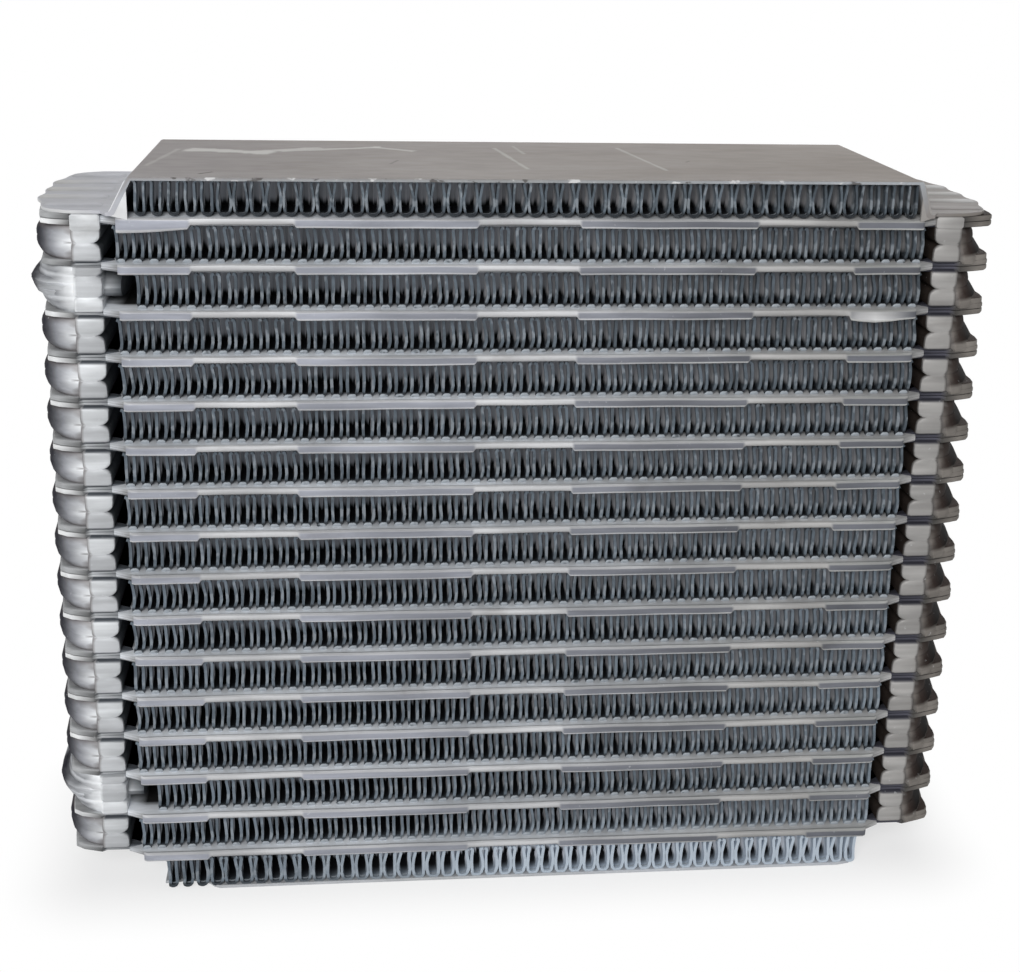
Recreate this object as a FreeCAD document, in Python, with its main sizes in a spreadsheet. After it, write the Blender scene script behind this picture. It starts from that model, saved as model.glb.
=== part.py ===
import FreeCAD, Part
import math
import os
import Sketcher
from FreeCAD import Placement, Rotation, Vector

# Driving sizes in millimetres (alias, value, meaning)
SIZES = (
    ("fin_rows", "17", "rows of folded fins, counted from the top"),
    ("fin_height", "8.4", "height of one fin row, from tube to tube"),
    ("fin_length", "200.0", "length of a fin row between the two tanks"),
    ("fin_pitch", "8.7", "length of one fold, up and down again"),
    ("fin_sheet", "0.25", "thickness of the fin strip"),
    ("fin_end_gap", "2.6", "gap between a fin row and the tank beside it"),
    ("fin_set_back", "3.0", "gap between a fin row and the lips in front of it"),
    ("core_depth", "65.0", "size of the core along the air flow"),
    ("channel_height", "1.5", "half of the thickness of a flat tube"),
    ("rim_height", "0.4", "thickness of a tube plate at its brazed rim"),
    ("rim_slope", "3.5", "width of the slope from rim to channel"),
    ("tank_set_back", "3.0", "step from the front edges of the tubes back to the tanks"),
    ("shoulder_run", "4.0", "length of that step along the core"),
    ("face_width", "7.0", "flat front face of a tank cup"),
    ("corner_run", "6.4", "blunt corner of a plate, along the core"),
    ("corner_rise", "3.5", "blunt corner of a plate, along the air flow"),
    ("end_bulge", "4.0", "how far the middle of a plate end stands out past its corners"),
    ("end_flat", "38.0", "straight middle stretch of a plate end"),
    ("cup_step", "3.6", "ledge of the plate outside the corner of a tank cup"),
    ("cup_end_step", "0.8", "ledge of the plate outside the end of a tank cup"),
    ("cup_end_flat", "26.0", "straight middle stretch of a cup's end"),
    ("cup_corner", "6.0", "corner of a tank cup, along the air flow"),
    ("cup_taper", "1.2", "how much a tank cup narrows towards its joint"),
    ("tab_length", "24.0", "stretch of plate edge between two lips"),
    ("tab_spacing", "69.0", "distance between the middles of two such stretches"),
    ("lip_sheet", "0.6", "thickness of a turned-down lip"),
    ("lip_drop", "0.9", "how far a lip reaches past the rim of its plate"),
    ("end_sheet", "0.8", "thickness of the two end plates"),
    ("raised_length", "190.0", "raised flat middle of the top end plate"),
    ("step_run", "4.8", "length of the slope beside the raised middle"),
    ("end_fin_gap", "0.4", "gap between the top fin row and the end plate's webs"),
    ("rib_count", "5", "ribs over each tank on the top end plate"),
    ("rib_spacing", "11.0", "distance between two ribs"),
    ("rib_width", "6.0", "width of a rib"),
    ("rib_height", "0.7", "height of a rib"),
    ("rib_start", "3.0", "gap between the slope's foot and the ribs"),
    ("bottom_length", "191.0", "length of the bottom end plate"),
    ("bottom_fin_inset", "0.5", "bottom end plate past each end of its fin row"),
    ("port_row_upper", "3", "fin row beside the upper port block"),
    ("port_row_lower", "15", "fin row beside the lower port block"),
    ("port_reach", "4.6", "how far a port block enters its fin row"),
    ("port_inset", "2.0", "step from core edge to the part inside the fin row"),
    ("port_flange", "1.6", "thickness of the flange round a port block"),
    ("port_flange_reach", "2.0", "how far that flange stands out at the end"),
    ("port_radius", "4.1", "radius of the pipe socket"),
    ("port_depth", "12.0", "depth of the pipe socket"),
)

# Places along the core, from the middle outwards
HALF_DEPTH = "(Sizes.core_depth / 2)"
FIN_END = "(Sizes.fin_length / 2)"
TANK_START = f"({FIN_END} + Sizes.fin_end_gap)"
TANK_FRONT = f"({HALF_DEPTH} - Sizes.tank_set_back)"
SHOULDER = f"({TANK_START} - Sizes.shoulder_run)"
FACE_END = f"({TANK_START} + Sizes.face_width)"
CORNER_X = f"({FACE_END} + Sizes.corner_run)"
CORNER_Y = f"({TANK_FRONT} - Sizes.corner_rise)"
END_X = f"({CORNER_X} + Sizes.end_bulge)"
RAISED_END = "(Sizes.raised_length / 2)"
SLOPE_FOOT = f"({RAISED_END} + Sizes.step_run)"
TUBE_PITCH = "(Sizes.fin_height + 2 * Sizes.channel_height)"

doc = FreeCAD.newDocument("EvaporatorCore")
sheet = doc.addObject("Spreadsheet::Sheet", "Sizes")
for line, (alias, value, meaning) in enumerate(SIZES, start=1):
    sheet.set(f"A{line}", alias)
    sheet.set(f"B{line}", value)
    sheet.set(f"C{line}", meaning)
    sheet.setAlias(f"B{line}", alias)
doc.recompute()

pieces = []


def size(expression):
    """Value of an expression of the sheet's sizes."""
    return float(sheet.evalExpression(expression))


def row_bottom(row):
    """Expression for the height of the underside of a fin row, counted from the top."""
    return f"(Sizes.end_sheet + (Sizes.fin_rows - {row}) * {TUBE_PITCH})"


def tube_middle(tube):
    """Expression for the height of a tube's middle plane; tube 1 lies under fin row 1."""
    return f"({row_bottom(tube)} - Sizes.channel_height)"


def make_body(label):
    """Starts one piece as a body of its own."""
    body = doc.addObject("PartDesign::Body", label)
    body.Label = label
    pieces.append(body)
    return body


def attach_sketch(body, name, role, offset="0"):
    """Sketch on one of the body's own origin planes, moved along its normal."""
    sketch = body.newObject("Sketcher::SketchObject", name)
    plane = next(feature for feature in body.Origin.OriginFeatures if feature.Role == role)
    sketch.AttachmentSupport = [(plane, "")]
    sketch.MapMode = "FlatFace"
    sketch.setExpression("AttachmentOffset.Base.z", offset)
    return sketch


def pin_point(sketch, edge, end, x_expression, y_expression):
    """Ties one end of a sketch edge to a pair of expressions."""
    for kind, expression in (("DistanceX", x_expression), ("DistanceY", y_expression)):
        index = sketch.addConstraint(
            Sketcher.Constraint(kind, -1, 1, edge, end, size(expression)))
        sketch.setExpression(f"Constraints[{index}]", expression)


def draw_outline(sketch, points):
    """Closed outline of straight edges through the points."""
    corners = [Vector(size(x), size(y), 0) for x, y in points]
    edges = [
        sketch.addGeometry(Part.LineSegment(corner, corners[(number + 1) % len(corners)]))
        for number, corner in enumerate(corners)
    ]
    for number, edge in enumerate(edges):
        following = edges[(number + 1) % len(edges)]
        sketch.addConstraint(Sketcher.Constraint("Coincident", edge, 2, following, 1))
        pin_point(sketch, edge, 1, *points[number])


def draw_box(sketch, low_x, high_x, low_y, high_y):
    """Rectangle between four expressions."""
    draw_outline(sketch, [(low_x, low_y), (high_x, low_y), (high_x, high_y), (low_x, high_y)])


def pad(body, sketch, length, reverse=False, both_ways=False):
    """Raises a sketch into a solid."""
    feature = body.newObject("PartDesign::Pad", f"{sketch.Name}_pad")
    feature.Profile = sketch
    feature.SideType = "Symmetric" if both_ways else "One side"
    feature.Reversed = reverse
    feature.setExpression("Length", length)
    return feature


def pocket(body, sketch, length, reverse=False, both_ways=False):
    """Cuts a sketch out of the solid and checks that something was cut."""
    doc.recompute()
    before = body.Shape.Volume
    feature = body.newObject("PartDesign::Pocket", f"{sketch.Name}_pocket")
    feature.Profile = sketch
    feature.SideType = "Symmetric" if both_ways else "One side"
    feature.Reversed = reverse
    feature.setExpression("Length", length)
    doc.recompute()
    if body.Shape.Volume >= before:
        raise RuntimeError(f"{feature.Label} cuts nothing")
    return feature


def mirror(body, features, role):
    """Repeats features on the other side of one of the body's origin planes."""
    feature = body.newObject("PartDesign::Mirrored", f"{features[0].Name}_mirror")
    feature.Originals = features
    plane = next(item for item in body.Origin.OriginFeatures if item.Role == role)
    feature.MirrorPlane = (plane, [""])
    body.Tip = feature
    return feature


def plate_end(side, reach="0"):
    """Front to rear points of a plate's blunt end; side is 1 on the right and -1 on the left."""
    face = f"{side} * {FACE_END}"
    corner = f"{side} * ({CORNER_X} + {reach})"
    end = f"{side} * ({END_X} + {reach})"
    return [
        (face, f"-{TANK_FRONT}"),
        (corner, f"-{CORNER_Y}"),
        (end, "-Sizes.end_flat / 2"),
        (end, "Sizes.end_flat / 2"),
        (corner, CORNER_Y),
        (face, TANK_FRONT),
    ]


def plate_outline(sketch, tanks):
    """Plan of a tube plate: straight long edges, and a blunt end over each tank it is part of."""
    points = []
    for side in (1, -1):
        shoulder = f"{side} * {SHOULDER}"
        inner = f"{side} * {TANK_START}"
        over_tank = plate_end(side) if side in tanks else []
        end = [(shoulder, f"-{HALF_DEPTH}"), (shoulder, HALF_DEPTH)]
        if tanks:
            end[1:1] = [(inner, f"-{TANK_FRONT}"), *over_tank, (inner, TANK_FRONT)]
        points += end if side > 0 else reversed(end)
    draw_outline(sketch, points)


def cup_outline(sketch, side, inset="0"):
    """Plan of a tank cup; inset draws in its inner and outer walls but not its front and rear."""
    inner = f"{side} * ({TANK_START} + {inset})"
    face = f"{side} * ({FACE_END} - {inset})"
    corner = f"{side} * ({CORNER_X} - Sizes.cup_step - {inset})"
    end = f"{side} * ({END_X} - Sizes.cup_end_step - {inset})"
    bend = f"({TANK_FRONT} - Sizes.cup_corner)"
    middle = "Sizes.cup_end_flat / 2"
    points = [
        (inner, f"-{TANK_FRONT}"),
        (face, f"-{TANK_FRONT}"),
        (corner, f"-{bend}"),
        (end, f"-({middle})"),
        (end, middle),
        (corner, bend),
        (face, TANK_FRONT),
        (inner, TANK_FRONT),
    ]
    draw_outline(sketch, points if side > 0 else list(reversed(points)))


def add_cup(body, side):
    """Half of a tank cell: a drawn cup that reaches the middle of the fin row beside it."""
    name = "right_cup" if side > 0 else "left_cup"
    base = attach_sketch(body, f"{name}_base", "XY_Plane", "Sizes.channel_height")
    cup_outline(base, side)
    joint = attach_sketch(
        body, f"{name}_joint", "XY_Plane", "Sizes.channel_height + Sizes.fin_height / 2")
    cup_outline(joint, side, "Sizes.cup_taper")
    loft = body.newObject("PartDesign::AdditiveLoft", name)
    loft.Profile = base
    loft.Sections = [joint]
    loft.Ruled = True


def slope_rims(body):
    """Slopes both long edges between the tanks down to the thickness of the brazed rim."""
    sketch = attach_sketch(body, "rim_slope", "YZ_Plane")
    for side in (1, -1):
        points = [
            (f"{side} * {HALF_DEPTH}", "Sizes.rim_height"),
            (f"{side} * {HALF_DEPTH}", "Sizes.channel_height"),
            (f"{side} * ({HALF_DEPTH} - Sizes.rim_slope)", "Sizes.channel_height"),
        ]
        draw_outline(sketch, points)
    pocket(body, sketch, f"2 * {TANK_START}", both_ways=True)


def add_lips(body):
    """Lips turned past the rim along both long edges, with three open stretches in each."""
    sketch = attach_sketch(body, "lips", "XY_Plane")
    half_tab = "Sizes.tab_length / 2"
    stretches = (
        (half_tab, f"Sizes.tab_spacing - {half_tab}"),
        (f"Sizes.tab_spacing + {half_tab}", SHOULDER),
    )
    for near, far in stretches:
        for low, high in ((near, far), (f"-({far})", f"-({near})")):
            draw_box(sketch, low, high, f"-{HALF_DEPTH}", f"-{HALF_DEPTH} + Sizes.lip_sheet")
    lips = pad(body, sketch, "Sizes.rim_height + Sizes.lip_drop")
    mirror(body, [lips], "XZ_Plane")


def make_plate(label, height, tanks, cups, lower=False):
    """One stamped tube plate; a lower plate is turned over and carries the lips."""
    body = make_body(label)
    if lower:
        body.Placement = Placement(Vector(), Rotation(Vector(1, 0, 0), 180))
    body.setExpression("Placement.Base.z", height)
    plan = attach_sketch(body, "plan", "XY_Plane")
    plate_outline(plan, tanks)
    pad(body, plan, "Sizes.channel_height")
    slope_rims(body)
    for side in cups:
        add_cup(body, side)
    if lower:
        add_lips(body)


def make_fin(label, row, low_end, high_end):
    """One fin row: a strip folded up and down between the tubes above and below it."""
    low = size(low_end)
    length = size(high_end) - low
    folds = max(1, round(length / size("Sizes.fin_pitch")))
    step = length / folds / 2
    height = size("Sizes.fin_height")
    sheet_rise = size("Sizes.fin_sheet") * math.hypot(step, height) / step
    under = [Vector(low + step * turn, 0, (turn % 2) * (height - sheet_rise))
             for turn in range(2 * folds + 1)]
    over = [point + Vector(0, 0, sheet_rise) for point in reversed(under)]
    profile = doc.addObject("Part::Polygon", f"{label}_profile")
    profile.Nodes = under + over
    profile.Close = True
    strip = doc.addObject("Part::Extrusion", label)
    strip.Label = label
    strip.Base = profile
    strip.DirMode = "Custom"
    strip.Dir = Vector(0, 1, 0)
    strip.Solid = True
    strip.Symmetric = True
    strip.setExpression(
        "LengthFwd", "Sizes.core_depth - 2 * (Sizes.lip_sheet + Sizes.fin_set_back)")
    strip.setExpression("Placement.Base.z", row_bottom(row))
    pieces.append(strip)


def make_top_end_plate():
    """Stepped top plate: raised over the top fin row, flat and ribbed over the tanks."""
    body = make_body("top_end_plate")
    body.setExpression("Placement.Base.z", row_bottom(1))
    fold_shift = "Sizes.end_sheet * tan(atan(Sizes.fin_height / Sizes.step_run) / 2)"
    top_line = [
        (END_X, "Sizes.end_sheet"),
        (SLOPE_FOOT, "Sizes.end_sheet"),
        (RAISED_END, "Sizes.fin_height + Sizes.end_sheet"),
    ]
    under_line = [
        (f"({RAISED_END} - {fold_shift})", "Sizes.fin_height"),
        (f"({SLOPE_FOOT} - {fold_shift})", "0"),
        (END_X, "0"),
    ]
    left_top = [(f"-{x}", z) for x, z in reversed(top_line)]
    left_under = [(f"-{x}", z) for x, z in reversed(under_line)]
    section = attach_sketch(body, "section", "XZ_Plane")
    draw_outline(section, top_line + left_top + left_under + under_line)
    pad(body, section, "Sizes.core_depth", both_ways=True)

    web = attach_sketch(body, "web", "XZ_Plane", HALF_DEPTH)
    for side in ("", "-"):
        draw_outline(web, [
            (f"{side}({RAISED_END} - {fold_shift})", "0"),
            (f"{side}({SLOPE_FOOT} - {fold_shift})", "0"),
            (f"{side}({RAISED_END} - {fold_shift})", "Sizes.fin_height"),
        ])
    mirror(body, [pad(body, web, "Sizes.end_sheet", reverse=True)], "XZ_Plane")

    ribs = attach_sketch(body, "ribs", "YZ_Plane", f"{SLOPE_FOOT} + Sizes.rib_start")
    count = int(size("Sizes.rib_count"))
    for number in range(count):
        middle = f"({number} - (Sizes.rib_count - 1) / 2) * Sizes.rib_spacing"
        draw_outline(ribs, [
            (f"{middle} - Sizes.rib_width / 2", "Sizes.end_sheet"),
            (f"{middle} + Sizes.rib_width / 2", "Sizes.end_sheet"),
            (f"{middle} + Sizes.rib_width / 4", "Sizes.end_sheet + Sizes.rib_height"),
            (f"{middle} - Sizes.rib_width / 4", "Sizes.end_sheet + Sizes.rib_height"),
        ])
    rib_length = f"{END_X} - {SLOPE_FOOT} - Sizes.rib_start"
    mirror(body, [pad(body, ribs, rib_length)], "YZ_Plane")

    trim = attach_sketch(body, "trim", "XY_Plane")
    beyond = f"({END_X} + Sizes.corner_run)"
    clear = f"({HALF_DEPTH} + Sizes.corner_run)"
    points = [
        (SLOPE_FOOT, f"-{HALF_DEPTH}"),
        (TANK_START, f"-{TANK_FRONT}"),
        *plate_end(1),
        (TANK_START, TANK_FRONT),
        (SLOPE_FOOT, HALF_DEPTH),
        (SLOPE_FOOT, clear),
        (beyond, clear),
        (beyond, f"-{clear}"),
        (SLOPE_FOOT, f"-{clear}"),
    ]
    draw_outline(trim, points)
    mirror(body, [pocket(body, trim, "Sizes.fin_height", both_ways=True)], "YZ_Plane")


def make_bottom_end_plate():
    """Flat sheet under the bottom fin row, on which the core stands."""
    plate = doc.addObject("Part::Box", "bottom_end_plate")
    plate.Label = "bottom_end_plate"
    plate.setExpression("Length", "Sizes.bottom_length")
    plate.setExpression("Width", "Sizes.core_depth")
    plate.setExpression("Height", "Sizes.end_sheet")
    plate.setExpression("Placement.Base.x", "-Sizes.bottom_length / 2")
    plate.setExpression("Placement.Base.y", f"-{HALF_DEPTH}")
    pieces.append(plate)


def make_port_block(label, row):
    """Block in the left tank beside one fin row, with a pipe socket in its rear face."""
    body = make_body(label)
    body.setExpression("Placement.Base.z", f"{row_bottom(row)} + Sizes.fin_height / 2")
    inner = f"-{TANK_START}"

    for name, length, stand_out in (
        ("block", TUBE_PITCH, "0"),
        ("flange", "Sizes.port_flange", "Sizes.port_flange_reach"),
    ):
        end = plate_end(-1, stand_out)
        rear_corner = (end[4][0], TANK_FRONT)
        sketch = attach_sketch(body, name, "XY_Plane")
        front = (inner, f"-{TANK_FRONT}")
        draw_outline(sketch, [(inner, TANK_FRONT), rear_corner, *reversed(end[:5]), front])
        pad(body, sketch, length, both_ways=True)
    reach = attach_sketch(body, "reach", "XY_Plane")
    inset_depth = f"({TANK_FRONT} - Sizes.port_inset)"
    draw_box(reach, inner, f"{inner} + Sizes.port_reach", f"-{inset_depth}", inset_depth)
    pad(body, reach, "Sizes.fin_height", both_ways=True)

    socket = attach_sketch(body, "socket", "XZ_Plane", f"-{TANK_FRONT}")
    centre = f"-({TANK_START} + {CORNER_X}) / 2"
    circle = Part.Circle(Vector(size(centre), 0, 0), Vector(0, 0, 1), size("Sizes.port_radius"))
    edge = socket.addGeometry(circle)
    pin_point(socket, edge, 3, centre, "0")
    radius = socket.addConstraint(
        Sketcher.Constraint("Radius", edge, size("Sizes.port_radius")))
    socket.setExpression(f"Constraints[{radius}]", "Sizes.port_radius")
    pocket(body, socket, "Sizes.port_depth", reverse=True)


rows = int(size("Sizes.fin_rows"))
port_rows = (int(size("Sizes.port_row_upper")), int(size("Sizes.port_row_lower")))

# Fin rows: the top one lies between the webs of the end plate, the bottom one on its plate
for row in range(1, rows + 1):
    left_end = f"-{FIN_END}"
    right_end = FIN_END
    if row in port_rows:
        left_end = f"-{TANK_START} + Sizes.port_reach + Sizes.fin_end_gap"
    if row == 1:
        right_end = f"{RAISED_END} - Sizes.end_sheet - Sizes.end_fin_gap"
        left_end = f"-({right_end})"
    if row == rows:
        right_end = "Sizes.bottom_length / 2 - Sizes.bottom_fin_inset"
        left_end = f"-({right_end})"
    make_fin(f"fin_{row:02d}", row, left_end, right_end)

# Tubes: each is an upper and a lower plate, joined in the middle plane. The top plate has no
# cups, the bottom one ends before the tanks, and those next to a port block before the left one
for tube in range(1, rows):
    for half, neighbour in (("upper", tube), ("lower", tube + 1)):
        tanks = (1,) if neighbour in port_rows else (1, -1)
        if neighbour == rows:
            tanks = ()
        cups = () if neighbour == 1 else tanks
        make_plate(
            f"tube_{tube:02d}_{half}_plate", tube_middle(tube), tanks, cups,
            lower=half == "lower")

make_top_end_plate()
make_bottom_end_plate()
make_port_block("port_block_upper", port_rows[0])
make_port_block("port_block_lower", port_rows[1])

doc.recompute()

for item in doc.Objects:
    if "Invalid" in item.State or "Error" in item.State:
        raise RuntimeError(f"{item.Label} did not build: {item.State}")
for piece in pieces:
    if piece.Shape.isNull() or not piece.Shape.isValid():
        raise RuntimeError(f"{piece.Label} has no valid shape")

os.makedirs("parts", exist_ok=True)
for piece in pieces:
    piece.Shape.exportStep(os.path.join("parts", f"{piece.Label}.step"))
print(f"{len(pieces)} pieces written")
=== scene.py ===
"""Evaporator core: fin rows, tubes, tanks, end plates and port blocks, with their finishes."""

from __future__ import annotations

import logging
import math
from dataclasses import dataclass, field
from enum import Enum
from typing import Any, Callable, Iterable, Sequence

import bmesh
import bpy
from mathutils import Matrix, Vector


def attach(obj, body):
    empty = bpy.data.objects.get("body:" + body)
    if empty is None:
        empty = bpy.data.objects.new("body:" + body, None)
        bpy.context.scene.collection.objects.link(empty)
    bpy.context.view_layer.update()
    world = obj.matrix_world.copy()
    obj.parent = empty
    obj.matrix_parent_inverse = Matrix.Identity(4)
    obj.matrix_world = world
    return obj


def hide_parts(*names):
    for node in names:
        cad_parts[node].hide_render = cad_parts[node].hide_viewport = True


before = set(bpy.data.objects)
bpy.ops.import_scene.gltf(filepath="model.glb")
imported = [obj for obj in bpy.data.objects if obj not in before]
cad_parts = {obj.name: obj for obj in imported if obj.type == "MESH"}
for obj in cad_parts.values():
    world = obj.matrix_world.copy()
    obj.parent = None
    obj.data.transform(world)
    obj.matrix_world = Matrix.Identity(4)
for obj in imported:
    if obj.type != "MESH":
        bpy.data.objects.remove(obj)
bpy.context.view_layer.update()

LOG = logging.getLogger("evaporator_core")
MM = 0.001
BODY = "root"

NOISE_ROUGHNESS = 0.55
SHARPEST_CORNER = 0.35  # keeps an inset outline from shooting out at a sharp corner
GLOW_STRENGTH = 0.4  # past 0.5 every lit triangle would be sampled as a lamp
SHADED_FRONT, PLAIN_MIDDLE = -12.0, -3.0  # depths where a tank's shaded corner ends
SHARP, SHEET_SHARP, FIN_SHARP = 40.0, 35.0, 50.0  # degrees past which an edge stays sharp
AIM = (0.0, 0.0, 0.1)  # what the lamps look at, in metres
SENSOR = 36.0

Point = tuple[float, float, float]
Point2 = tuple[float, float]
Colour = tuple[float, float, float]


class Slot(Enum):
    """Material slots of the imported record."""

    FIN = "fin"
    TUBE = "tube_plate"
    END = "end_plate"
    PORT = "port_block"


class Half(Enum):
    """The two plates of a tube: which way each one's cups point."""

    UPPER = 1
    LOWER = -1


@dataclass(frozen=True)
class Layout:
    """Main sizes of the core in millimetres, the same as in the solids."""

    rows: int = 17
    pitch: float = 11.4
    fin_height: float = 8.4
    half_tube: float = 1.5
    half_depth: float = 32.5
    tank_front: float = 29.5
    fin_end: float = 100.0
    fin_front: float = 29.8
    shoulder: float = 98.6
    tank_start: float = 102.6
    face_end: float = 109.6
    end_sheet: float = 0.8
    raised_end: float = 95.0
    slope_foot: float = 99.8
    bottom_end: float = 95.5
    port_rows: tuple[int, int] = (3, 15)
    port_end: float = 98.0
    tab_spacing: float = 69.0
    tab_half: float = 12.0

    def row_bottom(self, row: int) -> float:
        """Height of the underside of a fin row, counted from the top."""
        return self.end_sheet + (self.rows - row) * self.pitch

    def seam(self, tube: int) -> float:
        """Height of a tube's middle plane; tube 1 lies under fin row 1."""
        return self.row_bottom(tube) - self.half_tube

    @property
    def top(self) -> float:
        """Height of the raised face of the top end plate."""
        return self.row_bottom(1) + self.fin_height + self.end_sheet


CORE = Layout()


# Node trees


def operators(operation: str) -> tuple[Callable[..., "Signal"], Callable[..., "Signal"]]:
    """Methods that add one kind of maths node to a signal.

    Args:
        operation: kind of the node.

    Returns:
        The plain method and the reflected one.
    """
    def plain(self: "Signal", other: Any) -> "Signal":
        """The signal first."""
        return self.graph.maths(operation, self, other)

    def reflected(self: "Signal", other: Any) -> "Signal":
        """The other value first."""
        return self.graph.maths(operation, other, self)

    return plain, reflected


@dataclass(frozen=True)
class Signal:
    """An output socket of a node tree, with operators that add the maths nodes."""

    graph: "Graph"
    socket: bpy.types.NodeSocket

    __add__, __radd__ = operators("ADD")
    __sub__, __rsub__ = operators("SUBTRACT")
    __mul__, __rmul__ = operators("MULTIPLY")
    __truediv__, __rtruediv__ = operators("DIVIDE")
    __pow__, __rpow__ = operators("POWER")

    def __neg__(self) -> "Signal":
        """Opposite."""
        return self.graph.maths("MULTIPLY", self, -1.0)

    def ramp(self, low: float, high: float) -> "Signal":
        """Rises smoothly from 0 at low to 1 at high, or falls where low is the larger.

        Args:
            low: value that gives 0.
            high: value that gives 1.

        Returns:
            The clamped, smoothed signal.
        """
        values = {"Value": self, "From Min": min(low, high), "From Max": max(low, high)}
        rise = self.graph.node("ShaderNodeMapRange", {"interpolation_type": "SMOOTHSTEP"}, values)
        return rise if low <= high else 1.0 - rise

    def axis(self, name: str) -> "Signal":
        """X, Y or Z part of a vector."""
        return self.graph.node("ShaderNodeSeparateXYZ", {}, {0: self}, name)


class Graph:
    """Builds the nodes of one material or Geometry Nodes tree."""

    def __init__(self, tree: bpy.types.NodeTree) -> None:
        """Starts on an empty tree."""
        self.tree = tree
        tree.nodes.clear()

    def node(self, kind: str, settings: dict[str, Any] | None = None,
             values: dict[int | str, Any] | None = None, output: int | str = 0) -> Signal:
        """Adds a node: its settings first, then its values and links.

        Args:
            kind: type name of the node.
            settings: properties of the node itself.
            values: socket name or number, with a number, colour or signal for it.
            output: name or number of the output to hand back.

        Returns:
            The chosen output, or the first one.
        """
        node = self.tree.nodes.new(kind)
        for name, value in (settings or {}).items():
            setattr(node, name, value)
        for key, value in (values or {}).items():
            socket = node.inputs[key]
            if isinstance(value, Signal):
                self.tree.links.new(value.socket, socket)
            else:
                socket.default_value = value
        socket = node.outputs[output] if node.outputs else node.inputs[0]
        return Signal(self, socket)

    def maths(self, operation: str, first: Any, second: Any) -> Signal:
        """Maths on two values, as numbers, vectors or colours after the signals' own kind.

        Args:
            operation: ADD, SUBTRACT, MULTIPLY, DIVIDE, POWER, MINIMUM or MAXIMUM.
            first: signal, number, or tuple of three.
            second: signal, number, or tuple of three.

        Returns:
            The result.
        """
        kinds = {item.socket.type for item in (first, second) if isinstance(item, Signal)}
        if "RGBA" in kinds:
            settings = {"data_type": "RGBA", "blend_type": operation}
            colours = [self._as_colour(item) for item in (first, second)]
            values = {0: 1.0, 6: colours[0], 7: colours[1]}
            return self.node("ShaderNodeMix", settings, values, 2)
        if "VECTOR" in kinds:
            values = {number: (item,) * 3 if isinstance(item, (int, float)) else item
                      for number, item in enumerate((first, second))}
            return self.node("ShaderNodeVectorMath", {"operation": operation}, values)
        return self.node("ShaderNodeMath", {"operation": operation}, {0: first, 1: second})

    @staticmethod
    def _as_colour(item: Any) -> Any:
        """Colour with alpha out of a number or three numbers; signals stay."""
        if isinstance(item, Signal):
            return item
        if isinstance(item, (int, float)):
            return (item, item, item, 1.0)
        return (*item, 1.0)

    def mix(self, factor: Any, first: Any, second: Any) -> Signal:
        """Blend of two colours, 0 for the first and 1 for the second."""
        settings = {"data_type": "RGBA", "blend_type": "MIX"}
        values = {0: factor, 6: self._as_colour(first), 7: self._as_colour(second)}
        return self.node("ShaderNodeMix", settings, values, 2)

    def vector(self, x: Any, y: Any, z: Any) -> Signal:
        """Vector out of three numbers or signals."""
        return self.node("ShaderNodeCombineXYZ", {}, {0: x, 1: y, 2: z})

    def tint(self) -> Signal:
        """The colour that a piece carries in its own mesh."""
        return self.node("ShaderNodeAttribute", {"attribute_name": "tint"}, {}, "Color")

    def size(self, value: Signal) -> Signal:
        """A value without its sign."""
        return self.maths("MAXIMUM", value, -value)

    def noise(self, place: Signal, stretch: Point, detail: float = 3.0,
              shift: float = 0.0) -> Signal:
        """Noise around 0.5 whose cells are as long as 1/stretch along each axis.

        Args:
            place: coordinates in metres.
            stretch: cells in a metre along x, y and z.
            detail: octaves.
            shift: moves the pattern, so that two uses differ.

        Returns:
            The noise value.
        """
        moved = place * stretch + (shift, shift * 0.7, shift * 1.3)
        values = {"Vector": moved, "Scale": 1.0, "Detail": detail, "Roughness": NOISE_ROUGHNESS}
        return self.node("ShaderNodeTexNoise", {"noise_dimensions": "3D"}, values)


# Mesh drafts


Tint = Callable[[float, float, float], Colour]


def shade(level: float) -> Colour:
    """Neutral colour of one level."""
    return (level, level, level)


def blend(share: float, first: Colour, second: Colour) -> Colour:
    """Colour between two others, 0 for the first and 1 for the second."""
    share = min(max(share, 0.0), 1.0)
    return tuple(a + (b - a) * share for a, b in zip(first, second))


def ease(value: float, low: float, high: float) -> float:
    """Smooth rise from 0 at low to 1 at high."""
    share = min(max((value - low) / (high - low), 0.0), 1.0)
    return share * share * (3.0 - 2.0 * share)


def end_share(y: float) -> float:
    """How far a depth is from the shaded front corner of a tank, 1 from its middle on."""
    return ease(y, SHADED_FRONT, PLAIN_MIDDLE)


def inset(outline: Sequence[Point2], distance: float) -> list[Point2]:
    """Moves a closed outline inwards.

    Args:
        outline: points, counter-clockwise.
        distance: how far each edge moves in.

    Returns:
        The moved points, as many as before.
    """
    moved = []
    count = len(outline)
    for number, (x, y) in enumerate(outline):
        before, after = outline[number - 1], outline[(number + 1) % count]
        normals = []
        for (ax, ay), (bx, by) in ((before, (x, y)), ((x, y), after)):
            length = math.hypot(bx - ax, by - ay) or 1.0
            normals.append((-(by - ay) / length, (bx - ax) / length))
        nx, ny = normals[0][0] + normals[1][0], normals[0][1] + normals[1][1]
        share = max(SHARPEST_CORNER, (nx * nx + ny * ny) / 2)
        moved.append((x + nx * distance / share, y + ny * distance / share))
    return moved


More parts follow.
